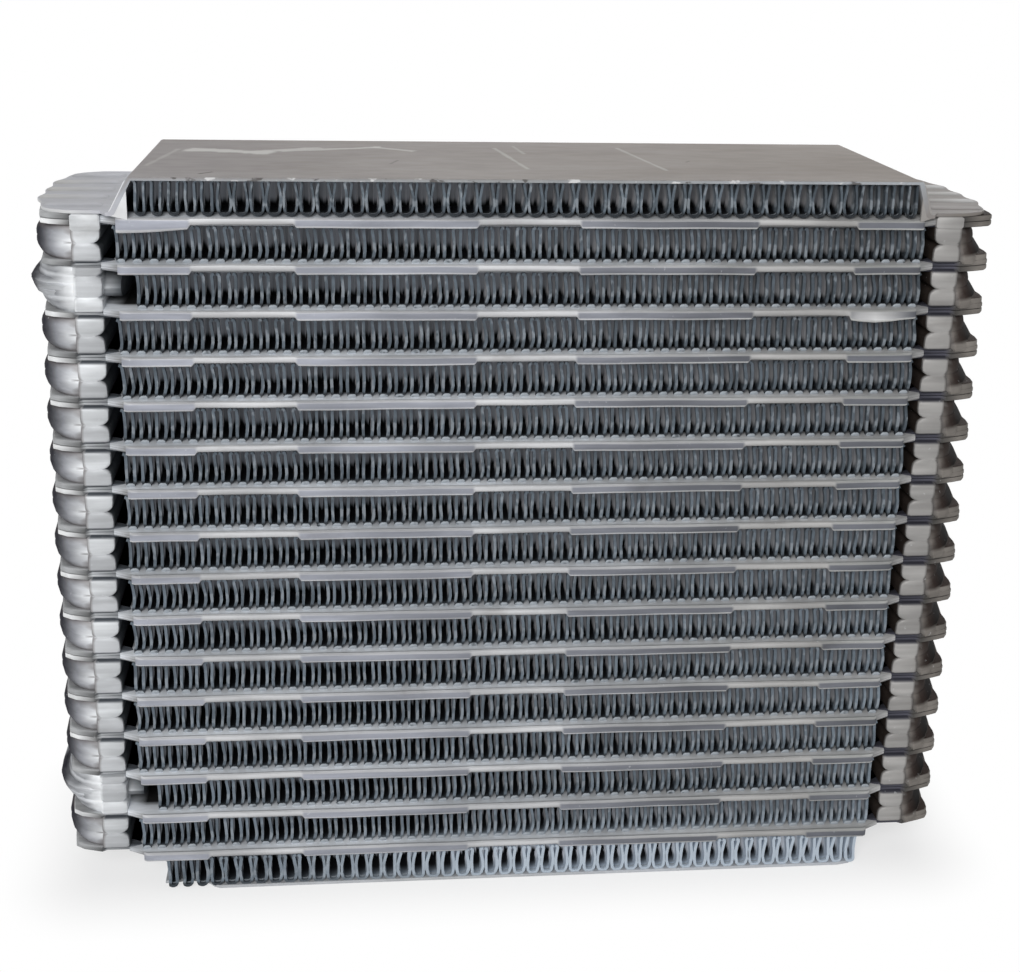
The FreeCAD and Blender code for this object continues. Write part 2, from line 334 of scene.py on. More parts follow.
class Draft:
    """Gathers the closed shells of one piece in millimetres and makes its mesh."""

    def __init__(self) -> None:
        """Starts empty."""
        self.points: list[Point] = []
        self.faces: list[list[int]] = []
        self.parts: list[int] = []
        self.tints: list[Colour] = []
        self.part = 0

    def loft(self, rings: Sequence[Sequence[Point]], tint: Tint | None = None,
             tints: Sequence[Sequence[Colour]] | None = None) -> None:
        """Closed shell through rings of equally many points, with a cap at each end.

        Args:
            rings: points of each ring.
            tint: colour of the sheet at a point.
            tints: colours given point by point instead.
        """
        start = len(self.points)
        size = len(rings[0])
        for number, ring in enumerate(rings):
            self.points.extend(ring)
            if tints:
                self.tints.extend(tints[number])
            else:
                self.tints.extend(tint(*point) if tint else shade(1.0) for point in ring)
        faces = []
        for level in range(len(rings) - 1):
            low = start + level * size
            for number in range(size):
                after = (number + 1) % size
                faces.append([low + number, low + after, low + size + after, low + size + number])
        faces.append([start + number for number in reversed(range(size))])
        top = start + (len(rings) - 1) * size
        faces.append([top + number for number in range(size)])
        self.faces.extend(faces)
        self.parts.extend([self.part] * len(faces))

    def layers(self, levels: Iterable[tuple[float, Sequence[Point2]]],
               tint: Tint | None = None) -> None:
        """Shell through level outlines, each given as a height and its points."""
        self.loft([[(x, y, z) for x, y in outline] for z, outline in levels], tint)

    def mesh(self, name: str) -> bpy.types.Mesh:
        """Mesh of all shells, with outward faces.

        Args:
            name: name of the mesh.

        Returns:
            The mesh, in metres, with part numbers and tints as attributes.
        """
        mesh = bpy.data.meshes.new(name)
        scaled = [(x * MM, y * MM, z * MM) for x, y, z in self.points]
        mesh.from_pydata(scaled, [], self.faces)
        part = mesh.attributes.new("part", "INT", "FACE")
        part.data.foreach_set("value", self.parts)
        tint = mesh.attributes.new("tint", "FLOAT_COLOR", "POINT")
        tint.data.foreach_set("color", [value for colour in self.tints for value in (*colour, 1.0)])
        draft = bmesh.new()
        draft.from_mesh(mesh)
        bmesh.ops.recalc_face_normals(draft, faces=draft.faces)
        draft.to_mesh(mesh)
        draft.free()
        return mesh

    def piece(self, name: str, material: bpy.types.Material,
              sharp: float = SHARP) -> bpy.types.Object:
        """Finished object with smooth faces and sharp edges past an angle.

        Args:
            name: name of the object.
            material: finish of all its faces.
            sharp: angle in degrees past which an edge stays sharp.

        Returns:
            The object, linked to the scene.
        """
        mesh = self.mesh(name)
        mesh.attributes.remove(mesh.attributes["part"])
        mesh.materials.append(material)
        smooth(mesh, sharp)
        return place(name, mesh)


class Part:
    """A piece that draws its own closed shells."""

    sharp = SHARP

    def label(self) -> str:
        """Name of the piece."""
        raise NotImplementedError

    def draw(self, draft: Draft) -> None:
        """Adds the shells of the piece."""
        raise NotImplementedError

    def build(self, material: bpy.types.Material) -> bpy.types.Object:
        """Builds the piece.

        Args:
            material: finish of all its faces.

        Returns:
            The finished piece.
        """
        draft = Draft()
        self.draw(draft)
        return draft.piece(self.label(), material, self.sharp)


def smooth(mesh: bpy.types.Mesh, sharp: float) -> None:
    """Smooth shading with sharp edges past an angle in degrees."""
    mesh.shade_smooth()
    mesh.set_sharp_from_angle(angle=math.radians(sharp))


def place(name: str, mesh: bpy.types.Mesh) -> bpy.types.Object:
    """Links a new object with the mesh to the scene."""
    thing = bpy.data.objects.new(name, mesh)
    bpy.context.scene.collection.objects.link(thing)
    return thing


def fit(piece: bpy.types.Object, nodes: Sequence[str]) -> None:
    """Hands a piece to the frame: its body and the nodes it stands for.

    Args:
        piece: finished object.
        nodes: CAD nodes that it replaces.
    """
    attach(piece, BODY)
    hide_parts(*nodes)
    LOG.info("%s: %d faces", piece.name, len(piece.data.polygons))


# Finishes


class Finish:
    """A procedural material on Object coordinates and the piece's own tint."""

    name = "finish"
    metallic = 0.1
    gloss = 0.0
    relief = 0.0
    relief_depth = 0.0002

    def colour(self, graph: Graph, place_: Signal) -> Signal:
        """Base colour over the piece."""
        raise NotImplementedError

    def roughness(self, graph: Graph, place_: Signal) -> Signal:
        """Roughness over the piece."""
        raise NotImplementedError

    def height(self, graph: Graph, place_: Signal) -> Signal | None:
        """Height of the fine relief; none by default."""
        return None

    def glow(self, graph: Graph, place_: Signal) -> Signal | None:
        """Painted light: emission for light that bounces about inside the piece; none by default.
        """
        return None

    def material(self) -> bpy.types.Material:
        """Builds the material.

        Returns:
            The new material.
        """
        material = bpy.data.materials.new(self.name)
        material.use_nodes = True
        graph = Graph(material.node_tree)
        place_ = graph.node("ShaderNodeTexCoord", {}, {}, "Object")
        values = {"Base Color": self.colour(graph, place_),
                  "Roughness": self.roughness(graph, place_),
                  "Metallic": self.metallic, "Specular IOR Level": self.gloss}
        height, glow = self.height(graph, place_), self.glow(graph, place_)
        if height:
            values["Normal"] = graph.node("ShaderNodeBump", {}, {
                "Strength": self.relief, "Distance": self.relief_depth, "Height": height})
        if glow:
            values.update({"Emission Color": glow, "Emission Strength": GLOW_STRENGTH})
        shader = graph.node("ShaderNodeBsdfPrincipled", {}, values)
        graph.node("ShaderNodeOutputMaterial", {}, {"Surface": shader})
        return material


@dataclass(frozen=True)
class FinFinish(Finish):
    """Dull thin sheet of the fins with pale feet; painted shade darkens it with the depth of the
    row.
    """

    name: str = "fin_sheet"
    front: Colour = (0.15, 0.182, 0.215)
    # lit, high, low and bounce are painted light and shade: light on the lowest row's left,
    # brownish light in the upper part of the gaps, black shade at their bottom, and the glow for
    # light bounced between the walls.
    lit: Colour = (0.66, 0.75, 0.85)
    high: Colour = (0.34, 0.32, 0.31)
    low: Colour = (0.012, 0.012, 0.014)
    bounce: Colour = (0.042, 0.046, 0.053)
    foot: Colour = (0.44, 0.48, 0.52)
    gloss: float = 0.12
    below: float = 0.6
    glow_gain: float = 5.333 / GLOW_STRENGTH
    glow_share: float = 0.25
    glow_limit: float = 3.5

    def _share(self, graph: Graph, place_: Signal) -> Signal:
        """Height in the row, 0 at its bottom and 1 at its top."""
        rise = graph.node("ShaderNodeMath", {"operation": "FRACT"}, {
            0: (place_.axis("Z") - (CORE.end_sheet - self.below) * MM) / (CORE.pitch * MM)})
        return (rise * CORE.pitch - self.below) / CORE.fin_height

    @staticmethod
    def _deep(graph: Graph, place_: Signal, start: float, end: float) -> Signal:
        """Rises from 0 to 1 between two depths behind the fins' front."""
        front = CORE.fin_front
        return graph.size(place_.axis("Y")).ramp((front - start) * MM, (front - end) * MM)

    @staticmethod
    def _low_left(place_: Signal) -> Signal:
        """1 in the lowest row on the left, where the light reaches in."""
        return place_.axis("Z").ramp(0.018, 0.008) * place_.axis("X").ramp(-0.09, 0.01)

    def _streak(self, graph: Graph, place_: Signal) -> Signal:
        """Noise in upright streaks, as the louvres give."""
        return graph.noise(place_, (800.0, 60.0, 30.0), 2.0, shift=5.0)

    def _high(self, graph: Graph, place_: Signal) -> Signal:
        """1 above the painted black shade at the bottom of the gaps, with a streaked edge."""
        uneven = 0.4 * (self._streak(graph, place_) - 0.5)
        return (self._share(graph, place_) + uneven).ramp(0.16, 0.38)

    def glow(self, graph: Graph, place_: Signal) -> Signal:
        """Painted light: weak emission between the walls in the upper part of a row, streaked by
        louvres.
        """
        strength = self._high(graph, place_) * self._deep(graph, place_, 0.8, 3.0)
        strength = strength * (0.5 + 0.7 * self._streak(graph, place_).ramp(0.3, 0.65))
        side = place_.axis("X").ramp(-0.05, 0.1) * place_.axis("Z").ramp(0.12, 0.18)
        lift = 0.75 + 3.0 * self._low_left(place_)
        strength = strength * (1.0 - 0.45 * side) * lift
        strength = graph.maths("MINIMUM", strength, self.glow_limit)
        full = tuple(self.glow_gain * part for part in self.bounce)
        return graph.mix(strength * self.glow_share, shade(0.0), full)

    def colour(self, graph: Graph, place_: Signal) -> Signal:
        """Slate edges and pale feet at the front; inside, brownish painted light above and painted
        black shade below.
        """
        share = self._share(graph, place_)
        deep = self._deep(graph, place_, 0.5, 4.5)
        blotch = graph.noise(place_, (160.0, 90.0, 200.0), 3.0)
        dull = tuple(channel * 0.62 for channel in self.front)
        front = graph.mix(blotch.ramp(0.35, 0.68), dull, self.front)
        # painted light and shade: the front is lighter in the lower rows, and darker in the upper
        # rows on the right
        gain = 1.4 - 0.4 * place_.axis("Z").ramp(0.03, 0.17)
        fall = place_.axis("X").ramp(0.03, 0.1) * (
            0.12 - 0.46 * place_.axis("Z").ramp(0.04, 0.17))
        front = front * graph.mix(gain * (1.0 + fall) - 0.6, shade(0.6), shade(1.6))
        speck = graph.noise(place_, (520.0, 300.0, 300.0), 2.0, shift=4.0)
        pinch = share.ramp(0.16, 0.32) * share.ramp(0.62, 0.42)
        front = graph.mix(0.45 * (speck + 0.12 * pinch).ramp(0.54, 0.7), front, self.foot)
        # painted light on the lowest row's left
        lit = self._low_left(place_)
        front = graph.mix(0.85 * lit, front, self.lit)
        # painted shade: black at the bottom of each row's front
        front = graph.mix(0.75 * share.ramp(0.16, 0.08) * (1.0 - lit), front, self.low)
        # painted light above and painted shade below inside the row, which takes over with depth
        inside = graph.mix(self._high(graph, place_), self.low, self.high)
        body = graph.mix(deep ** 0.45, front, inside)
        uneven = graph.noise(place_, (420.0, 300.0, 500.0), 2.0, shift=9.0)
        near = self._deep(graph, place_, -0.01, -0.05) * self._deep(graph, place_, -0.8, -0.5)
        foot = share.ramp(0.13, 0.08) * near * uneven.ramp(0.2, 0.45)
        return graph.mix(foot, body, self.foot)

    def roughness(self, graph: Graph, place_: Signal) -> Signal:
        """Dull, a little uneven."""
        return 0.45 + 0.18 * graph.noise(place_, (300.0, 300.0, 300.0))


@dataclass(frozen=True)
class TubeFinish(Finish):
    """Satin pressed sheet of the tubes and tanks."""

    name: str = "tube_sheet"
    pale: Colour = (0.80, 0.82, 0.84)
    stain: Colour = (0.30, 0.26, 0.22)
    metallic: float = 0.22
    relief: float = 0.25

    def colour(self, graph: Graph, place_: Signal) -> Signal:
        """The plates' tint, which carries painted light and shade, with pale residue, drawing marks
        and brownish stains.
        """
        tint = graph.tint()
        cloud = graph.noise(place_, (35.0, 60.0, 160.0), 4.0)
        grain = graph.noise(place_, (25.0, 400.0, 500.0), 2.0, shift=3.0)
        spots = graph.noise(place_, (700.0, 700.0, 700.0), 2.0, shift=7.0)
        stain = graph.noise(place_, (45.0, 80.0, 90.0), 5.0, shift=11.0).ramp(0.6, 0.75)
        tone = tint * graph.mix(cloud.ramp(0.35, 0.65), shade(0.86), shade(1.12))
        tone = tone * graph.mix(grain.ramp(0.3, 0.7), shade(0.9), shade(1.1))
        tone = graph.mix(0.25 * stain, tone, tint * self.stain)
        return graph.mix(0.3 * spots.ramp(0.69, 0.78), tone, self.pale)

    def roughness(self, graph: Graph, place_: Signal) -> Signal:
        """Satin, duller where residue lies."""
        return 0.34 + 0.25 * graph.noise(place_, (35.0, 60.0, 160.0), 4.0)

    def height(self, graph: Graph, place_: Signal) -> Signal:
        """Drawing marks along the plates with a fine grain."""
        return (graph.noise(place_, (30.0, 700.0, 700.0), 2.0)
                + 0.4 * graph.noise(place_, (1200.0, 1200.0, 1200.0), 2.0))


@dataclass(frozen=True)
class Stroke:
    """A pale mark on the top sheet, in millimetres."""

    start: Point2
    end: Point2
    width: float
    strength: float


@dataclass(frozen=True)
class EndFinish(Finish):
    """Warm grey sheet of the end plates with dried residue and scratches."""

    name: str = "end_sheet"
    residue: Colour = (0.62, 0.61, 0.59)
    scratch: Colour = (0.10, 0.09, 0.085)
    gloss: float = 0.04
    relief: float = 0.2
    marks: tuple[Stroke, ...] = (
        Stroke((-82.0, 13.0), (-66.0, 9.0), 3.6, 1.0),
        Stroke((-70.0, 9.0), (-52.0, 18.0), 2.0, 0.8),
        Stroke((-60.0, 12.0), (-36.0, 20.0), 1.6, 0.7),
        Stroke((-36.0, 20.0), (-27.0, 14.0), 1.3, 0.6),
        Stroke((-88.0, 14.0), (-93.0, -14.0), 0.7, 0.35),
        Stroke((-4.0, 20.0), (1.0, -16.0), 0.6, 0.4),
        Stroke((1.5, 24.0), (3.0, 10.0), 0.5, 0.3),
        Stroke((30.0, 22.0), (36.0, -17.0), 0.6, 0.4),
    )
    scratches: tuple[Stroke, ...] = (
        Stroke((-79.0, -26.5), (-76.5, -24.0), 0.5, 0.9),
        Stroke((-33.0, -9.0), (-31.0, -3.0), 0.4, 0.5),
        Stroke((44.0, -3.0), (45.2, -1.0), 0.4, 0.7),
    )

    def _mark(self, graph: Graph, place_: Signal, mark: Stroke) -> Signal:
        """How strongly a mark shows, from 0 to 1."""
        (ax, ay), (bx, by) = mark.start, mark.end
        length = math.hypot(bx - ax, by - ay)
        ux, uy = (bx - ax) / length, (by - ay) / length
        x, y = place_.axis("X") / MM - ax, place_.axis("Y") / MM - ay
        along, across = x * ux + y * uy, y * ux - x * uy
        ragged = (graph.noise(place_, (140.0, 140.0, 140.0), 4.0, shift=mark.width) - 0.5) * 5.0
        wide = mark.width * (0.65 + ragged * 0.4)
        soft = 0.3 + 0.35 * mark.width
        beside = graph.size(across) - wide
        beyond = graph.maths("MAXIMUM", along - length, -along) - wide
        return graph.maths("MAXIMUM", beside, beyond).ramp(soft, -0.6 * soft) * mark.strength

    def colour(self, graph: Graph, place_: Signal) -> Signal:
        """Own tint, which carries painted light and shade, with cloudy residue, pale marks and
        short dark scratches.
        """
        tint = graph.tint()
        cloud = graph.noise(place_, (14.0, 40.0, 60.0), 4.0)
        fine = graph.noise(place_, (110.0, 260.0, 200.0), 3.0, shift=2.0)
        tone = tint * graph.mix(cloud.ramp(0.35, 0.65), (0.93, 0.92, 0.9), (1.08, 1.08, 1.09))
        tone = tone * graph.mix(fine.ramp(0.3, 0.7), shade(0.94), shade(1.06))
        front = place_.axis("Y").ramp(-31.9 * MM, -32.3 * MM)
        edge = front * place_.axis("Z").ramp((CORE.top - 1.3) * MM, (CORE.top - 1.0) * MM)
        flake = graph.noise(place_, (240.0, 90.0, 500.0), 3.0, shift=6.0)
        tone = graph.mix(edge * flake.ramp(0.6, 0.68), tone, shade(0.75))
        tone = graph.mix(0.8 * edge * flake.ramp(0.4, 0.34), tone, self.scratch)
        for marks, colour in ((self.marks, self.residue), (self.scratches, self.scratch)):
            for mark in marks:
                tone = graph.mix(self._mark(graph, place_, mark), tone, colour)
        return tone

    def roughness(self, graph: Graph, place_: Signal) -> Signal:
        """Dull, smoother in clouds."""
        return 0.42 + 0.2 * graph.noise(place_, (20.0, 60.0, 60.0), 3.0)

    def height(self, graph: Graph, place_: Signal) -> Signal:
        """Slightly wavy sheet with a fine grain."""
        return (graph.noise(place_, (60.0, 90.0, 90.0), 2.0)
                + 0.25 * graph.noise(place_, (900.0, 900.0, 900.0), 2.0))


@dataclass(frozen=True)
class PortFinish(TubeFinish):
    """Machined block in the tank."""

    name: str = "port_metal"
    metallic: float = 0.25


# Fin rows


class RowTree:
    """Geometry Nodes tree that repeats the shapes of a fold into a whole fin row."""

    NUMBERS = ("Folds", "Fine slats", "Coarse slats")
    LENGTHS = ("Fold pitch", "Depth", "Edge strip", "Fine pitch", "Height", "Left end", "Bottom",
               "Turn", "Bow", "Bulge", "Unevenness", "Tip bend", "Calm end", "Seed")

    def __init__(self, material: bpy.types.Material) -> None:
        """Builds the tree once for all rows."""
        self.tree = bpy.data.node_groups.new("fin_row", "GeometryNodeTree")
        self.graph = Graph(self.tree)
        face = self.tree.interface
        face.new_socket("Geometry", in_out="INPUT", socket_type="NodeSocketGeometry")
        self.keys: dict[str, str] = {}
        for names, kind in ((self.NUMBERS, "NodeSocketInt"), (self.LENGTHS, "NodeSocketFloat")):
            for name in names:
                socket = face.new_socket(name, in_out="INPUT", socket_type=kind)
                self.keys[name] = socket.identifier
        face.new_socket("Geometry", in_out="OUTPUT", socket_type="NodeSocketGeometry")
        self.inputs = self.tree.nodes.new("NodeGroupInput")
        self._build(material)

    def value(self, name: str) -> Signal:
        """One named input of the tree."""
        return Signal(self.graph, self.inputs.outputs[name])

    def _part(self, number: int) -> Signal:
        """One shape of the fold, picked by its part number."""
        graph = self.graph
        part = graph.node("GeometryNodeInputNamedAttribute", {"data_type": "INT"}, {"Name": "part"})
        same = graph.node("FunctionNodeCompare", {"data_type": "INT", "operation": "EQUAL"},
                          {"A": part, "B": number})
        return graph.node("GeometryNodeSeparateGeometry", {"domain": "FACE"},
                          {"Geometry": self.value("Geometry"), "Selection": same})

    def _spread(self, part: int, count_x: Any, step_x: Any, start_x: Any, count_y: Any,
                step_y: Any, start_y: Any, turn: Any = 0.0) -> Signal:
        """Copies one shape on a grid of points in the row's plan.

        Args:
            part: number of the shape.
            count_x: points along the row.
            step_x: distance between them.
            start_x: place of the first one.
            count_y: points along the depth, two or more.
            step_y: distance between them.
            start_y: place of the first one.
            turn: angle of the copies about the vertical.

        Returns:
            The copies, not yet realized.
        """
        graph = self.graph
        size_x, size_y = (count_x - 1) * step_x, (count_y - 1) * step_y
        grid = graph.node("GeometryNodeMeshGrid", {}, {
            "Size X": size_x, "Size Y": size_y, "Vertices X": count_x, "Vertices Y": count_y})
        moved = graph.node("GeometryNodeTransform", {}, {
            "Geometry": grid,
            "Translation": graph.vector(start_x + size_x / 2, start_y + size_y / 2, 0.0)})
        points = graph.node("GeometryNodeMeshToPoints", {}, {"Mesh": moved})
        return graph.node("GeometryNodeInstanceOnPoints", {}, {
            "Points": points, "Instance": self._part(part),
            "Rotation": graph.vector(0.0, 0.0, turn)})

    def _layout(self) -> list[Signal]:
        """Copies of all shapes over the row."""
        folds, pitch = self.value("Folds"), self.value("Fold pitch")
        depth, strip, fine = self.value("Depth"), self.value("Edge strip"), self.value("Fine pitch")
        turn = self.value("Turn")
        half = depth / 2
        walls, gap, wall = folds * 2, pitch / 2, -pitch / 4
        count, coarse = self.value("Fine slats"), self.value("Coarse slats")
        first = strip - half + fine * 0.6
        last = half - strip - fine * 0.6 - (count - 1) * fine
        inner = first + count * fine
        step = -inner / coarse
        return [
            self._spread(0, folds, pitch, 0.0, 2, depth - strip, strip / 2 - half),
            self._spread(1, folds, pitch, 0.0, 2, half - strip, strip - half + (half - strip) / 2),
            self._spread(2, walls, gap, wall, count, fine, first, turn),
            self._spread(2, walls, gap, wall, count, fine, last, -turn),
            self._spread(3, walls, gap, wall, coarse, step, inner + step / 2, turn),
            self._spread(3, walls, gap, wall, coarse, step, step / 2, -turn),
            self._spread(4, folds, pitch, 0.0, 2, depth - strip, strip / 2 - half),
        ]

    def _push(self) -> Signal:
        """How far each point of the walls is pushed along the row."""
        graph = self.graph
        at = graph.node("GeometryNodeInputPosition")
        level = at.axis("Z") / self.value("Height")
        inside = graph.maths("MINIMUM", graph.maths("MAXIMUM", level, 0.0), 1.0)
        swell = 4.0 * inside * (1.0 - inside) * (1.5 - inside)
        seed = self.value("Seed")
        drift, tips = (
            graph.node("ShaderNodeTexNoise", {"noise_dimensions": "4D"}, {
                "Vector": at * stretch, "W": phase, "Scale": 1.0, "Detail": detail}) - 0.5
            for stretch, phase, detail in (((24.0, 8.0, 40.0), seed, 2.0),
                                           ((300.0, 60.0, 170.0), seed + 5.0, 1.0)))
        near = (at.axis("Y") + self.value("Depth") / 2).ramp(0.006, 0.001)
        angle = at.axis("X") * (2.0 * math.pi) / self.value("Fold pitch")
        wave = graph.node("ShaderNodeMath", {"operation": "SINE"}, {0: angle})
        length = self.value("Folds") * self.value("Fold pitch")
        ends = graph.maths("MINIMUM", at.axis("X"), length - at.axis("X")) - self.value("Calm end")
        lively = ends.ramp(0.0, 0.012)
        return (self.value("Bow") + wave * self.value("Bulge") * lively
                + drift * self.value("Unevenness") + tips * self.value("Tip bend") * near) * swell

    def _build(self, material: bpy.types.Material) -> None:
        """Lays the shapes out, bends the row and gives it its material."""
        graph = self.graph
        joined = self.tree.nodes.new("GeometryNodeJoinGeometry")
        for part in self._layout():
            self.tree.links.new(part.socket, joined.inputs[0])
        solid = graph.node("GeometryNodeRealizeInstances", {}, {
            "Geometry": Signal(graph, joined.outputs[0])})
        bent = graph.node("GeometryNodeSetPosition", {}, {
            "Geometry": solid, "Offset": graph.vector(self._push(), 0.0, 0.0)})
        shift = self.value("Left end") + self.value("Fold pitch") / 2
        moved = graph.node("GeometryNodeTransform", {}, {
            "Geometry": bent, "Translation": graph.vector(shift, 0.0, self.value("Bottom"))})
        dressed = graph.node("GeometryNodeSetMaterial", {}, {
            "Geometry": moved, "Material": material})
        out = self.tree.nodes.new("NodeGroupOutput")
        self.tree.links.new(dressed.socket, out.inputs[0])


@dataclass
class FinRow:
    """One strip folded up and down between two tubes, with louvres in its walls."""

    row: int
    left: float
    right: float
    front: float = CORE.fin_front
    fold: float = 3.92
    sheet: float = 0.26
    edge_sheet: float = 0.74
    crest: float = 0.72
    strip: float = 1.3
    fine_pitch: float = 1.45
    fine_count: int = 3
    coarse_count: int = 3
    bow: float = 0.34
    bulge: float = 0.24
    uneven: float = 2.2
    tip_bend: float = 0.7
    calm_end: float = 0.0
    feet: bool = True
    turn: float = 27.0
    slat_share: float = 0.95
    coarse_width: float = 5.6
    seed_step: float = 1.7

    def _line(self, pitch: float, height: float) -> list[Point2]:
        """Middle line of one fold from trough middle to trough middle."""
        radius = self.crest
        wall = pitch / 4
        low, high = self.sheet / 2, height - self.sheet / 2
        arc = [math.radians(angle) for angle in (90, 45, 0)]
        foot = [(wall - radius + radius * math.cos(turn), low + radius - radius * math.sin(turn))
                for turn in arc]
        head = [(wall + radius - radius * math.cos(turn), high - radius + radius * math.sin(turn))
                for turn in reversed(arc)]
        rise = high - low - 2 * radius
        between = [(wall, low + radius + rise * share) for share in (0.25, 0.5, 0.75)]
        right = foot + between + head
        left = [(-x, z) for x, z in reversed(right)]
        return left + right

    @staticmethod
    def _ribbon(draft: Draft, line: Sequence[Point2], low_y: float, high_y: float,
                thick: float) -> None:
        """Gives a line in x and z a thickness and runs it along the depth."""
        half = thick / 2
        rings = []
        count = len(line)
        for number, (x, z) in enumerate(line):
            (ax, az), (bx, bz) = line[max(number - 1, 0)], line[min(number + 1, count - 1)]
            length = math.hypot(bx - ax, bz - az)
            nx, nz = -(bz - az) / length * half, (bx - ax) / length * half
            rings.append([(x + nx, low_y, z + nz), (x - nx, low_y, z - nz),
                          (x - nx, high_y, z - nz), (x + nx, high_y, z + nz)])
        draft.loft(rings)

    def _foot(self, draft: Draft) -> None:
        """Pale fillet of braze round the bottom of a fold at its front edge."""
        outline = [(-0.8, -0.4), (0.8, -0.4), (1.15, -0.15), (0.95, 0.2), (0.62, 0.5),
                   (0.3, 0.6), (0.0, 0.56), (-0.3, 0.6), (-0.62, 0.5), (-0.95, 0.2),
                   (-1.15, -0.15)]
        half = self.strip / 2
        rings = []
        for y, share in ((-half - 0.22, 0.72), (-half - 0.05, 1.0), (half + 0.05, 1.0),
                         (half + 0.22, 0.72)):
            rings.append([(x * share, y, 0.1 + (z - 0.1) * share) for x, z in outline])
        draft.loft(rings)

    def _fold(self, pitch: float, height: float, depth: float) -> bpy.types.Mesh:
        """Shapes of one fold: edge strip, crest bands, two slats and a foot.

        Args:
            pitch: length of the fold.
            height: height of the row.
            depth: depth of the row.

        Returns:
            A mesh with each shape around the origin under its own part number.
        """
        draft = Draft()
        line = self._line(pitch, height)
        self._ribbon(draft, line, -self.strip / 2, self.strip / 2, self.edge_sheet)
        draft.part = 1
        band = depth / 4 - self.strip / 2
        middle = len(line) // 2
        for piece in (line[middle - 3:middle + 3], line[:3], line[-3:]):
            self._ribbon(draft, piece, -band, band, self.sheet)
        low, high = self.sheet + self.crest * 0.8, height - self.sheet - self.crest * 0.8
        bent, straight = (low, (low + high) / 2, high), (low, high)
        for part, width, levels in ((2, self.fine_pitch * self.slat_share, bent),
                                    (3, self.coarse_width, straight)):
            draft.part = part
            thick = self.sheet * 0.5
            plan = [(-thick / 2, -width / 2), (thick / 2, -width / 2),
                    (thick / 2, width / 2), (-thick / 2, width / 2)]
            draft.layers([(level, plan) for level in levels])
        if self.feet:
            draft.part = 4
            self._foot(draft)
        mesh = draft.mesh("fold")
        mesh.attributes.remove(mesh.attributes["tint"])
        return mesh

    def build(self, tree: RowTree) -> bpy.types.Object:
        """Builds the row with the shared tree and turns it into a plain mesh.

        Args:
            tree: Geometry Nodes tree of the rows.

        Returns:
            The finished row.
        """
        length = self.right - self.left
        folds = round(length / self.fold)
        pitch = length / folds
        depth = 2 * self.front
        height = CORE.fin_height
        source = place("fold_source", self._fold(pitch, height, depth))
        modifier = source.modifiers.new("fin_row", "NODES")
        modifier.node_group = tree.tree
        values = {
            "Folds": folds, "Fine slats": self.fine_count, "Coarse slats": self.coarse_count,
            "Fold pitch": pitch * MM, "Depth": depth * MM, "Edge strip": self.strip * MM,
            "Fine pitch": self.fine_pitch * MM, "Height": height * MM,
            "Left end": self.left * MM, "Bottom": CORE.row_bottom(self.row) * MM,
            "Turn": math.radians(self.turn), "Bow": self.bow * MM, "Bulge": self.bulge * MM,
            "Unevenness": self.uneven * MM, "Tip bend": self.tip_bend * MM,
            "Calm end": self.calm_end * MM, "Seed": self.seed_step * self.row,
        }
        for name, value in values.items():
            modifier[tree.keys[name]] = value
        graph = bpy.context.evaluated_depsgraph_get()
        mesh = bpy.data.meshes.new_from_object(source.evaluated_get(graph))
        bpy.data.objects.remove(source)
        mesh.name = f"fin_row_{self.row:02d}"
        if "part" in mesh.attributes:
            mesh.attributes.remove(mesh.attributes["part"])
        smooth(mesh, FIN_SHARP)
        return place(f"fin_row_{self.row:02d}", mesh)


@dataclass
class FinPack:
    """All fin rows of the core."""

    rows: list[FinRow] = field(default_factory=list)

    def plan(self) -> None:
        """Sets each row's ends and how crooked its folds are."""
        for row in range(1, CORE.rows + 1):
            left, right = -CORE.fin_end, CORE.fin_end
            if row in CORE.port_rows:
                left = -CORE.port_end + 2.6
            if row == 1:
                left, right = 0.2 - CORE.raised_end, CORE.raised_end + 2.2
            if row == CORE.rows:
                left, right = 2.1 - CORE.bottom_end, CORE.bottom_end + 1.6
            crooked = {}
            if row in (1, CORE.rows):
                last = row == CORE.rows
                crooked = {"front": CORE.fin_front + 1.4, "bow": 0.0, "bulge": 0.74,
                           "tip_bend": 1.0, "feet": False, "calm_end": 0.0 if last else 10.0,
                           "uneven": 2.2 if last else 0.9, "edge_sheet": 0.8 if last else 0.6}
            self.rows.append(FinRow(row, left, right, **crooked))

    def build(self, material: bpy.types.Material) -> None:
        """Builds every row and lets it replace its node."""
        self.plan()
        tree = RowTree(material)
        for item in self.rows:
            fit(item.build(tree), [f"fin_{item.row:02d}"])


# Tubes and tanks


@dataclass(frozen=True)
class Dent:
    """A stretch where a front edge is pushed out of line."""

    middle: float
    reach: float
    drop: float = 0.0
    bright: float = 0.0

    def share(self, x: float) -> float:
        """How much of the dent is felt at x, from 0 to 1."""
        away = abs(x - self.middle) / self.reach
        return 0.0 if away >= 1.0 else 0.5 + 0.5 * math.cos(math.pi * away)


@dataclass(frozen=True)
class EdgePoint:
    """A corner of the edge bar's section, in the open stretches and at a lip."""

    y: float
    z: float
    # level and lip_level: painted light and shade of the corner, in the open stretches and at a
    # lip; face: share of the lip face's painted shade
    level: float
    lip_y: float
    lip_z: float
    lip_level: float
    face: float = 0.0


BARREL_START, BARREL_LENGTH, TANK_END = 109.7, 10.2, 119.95

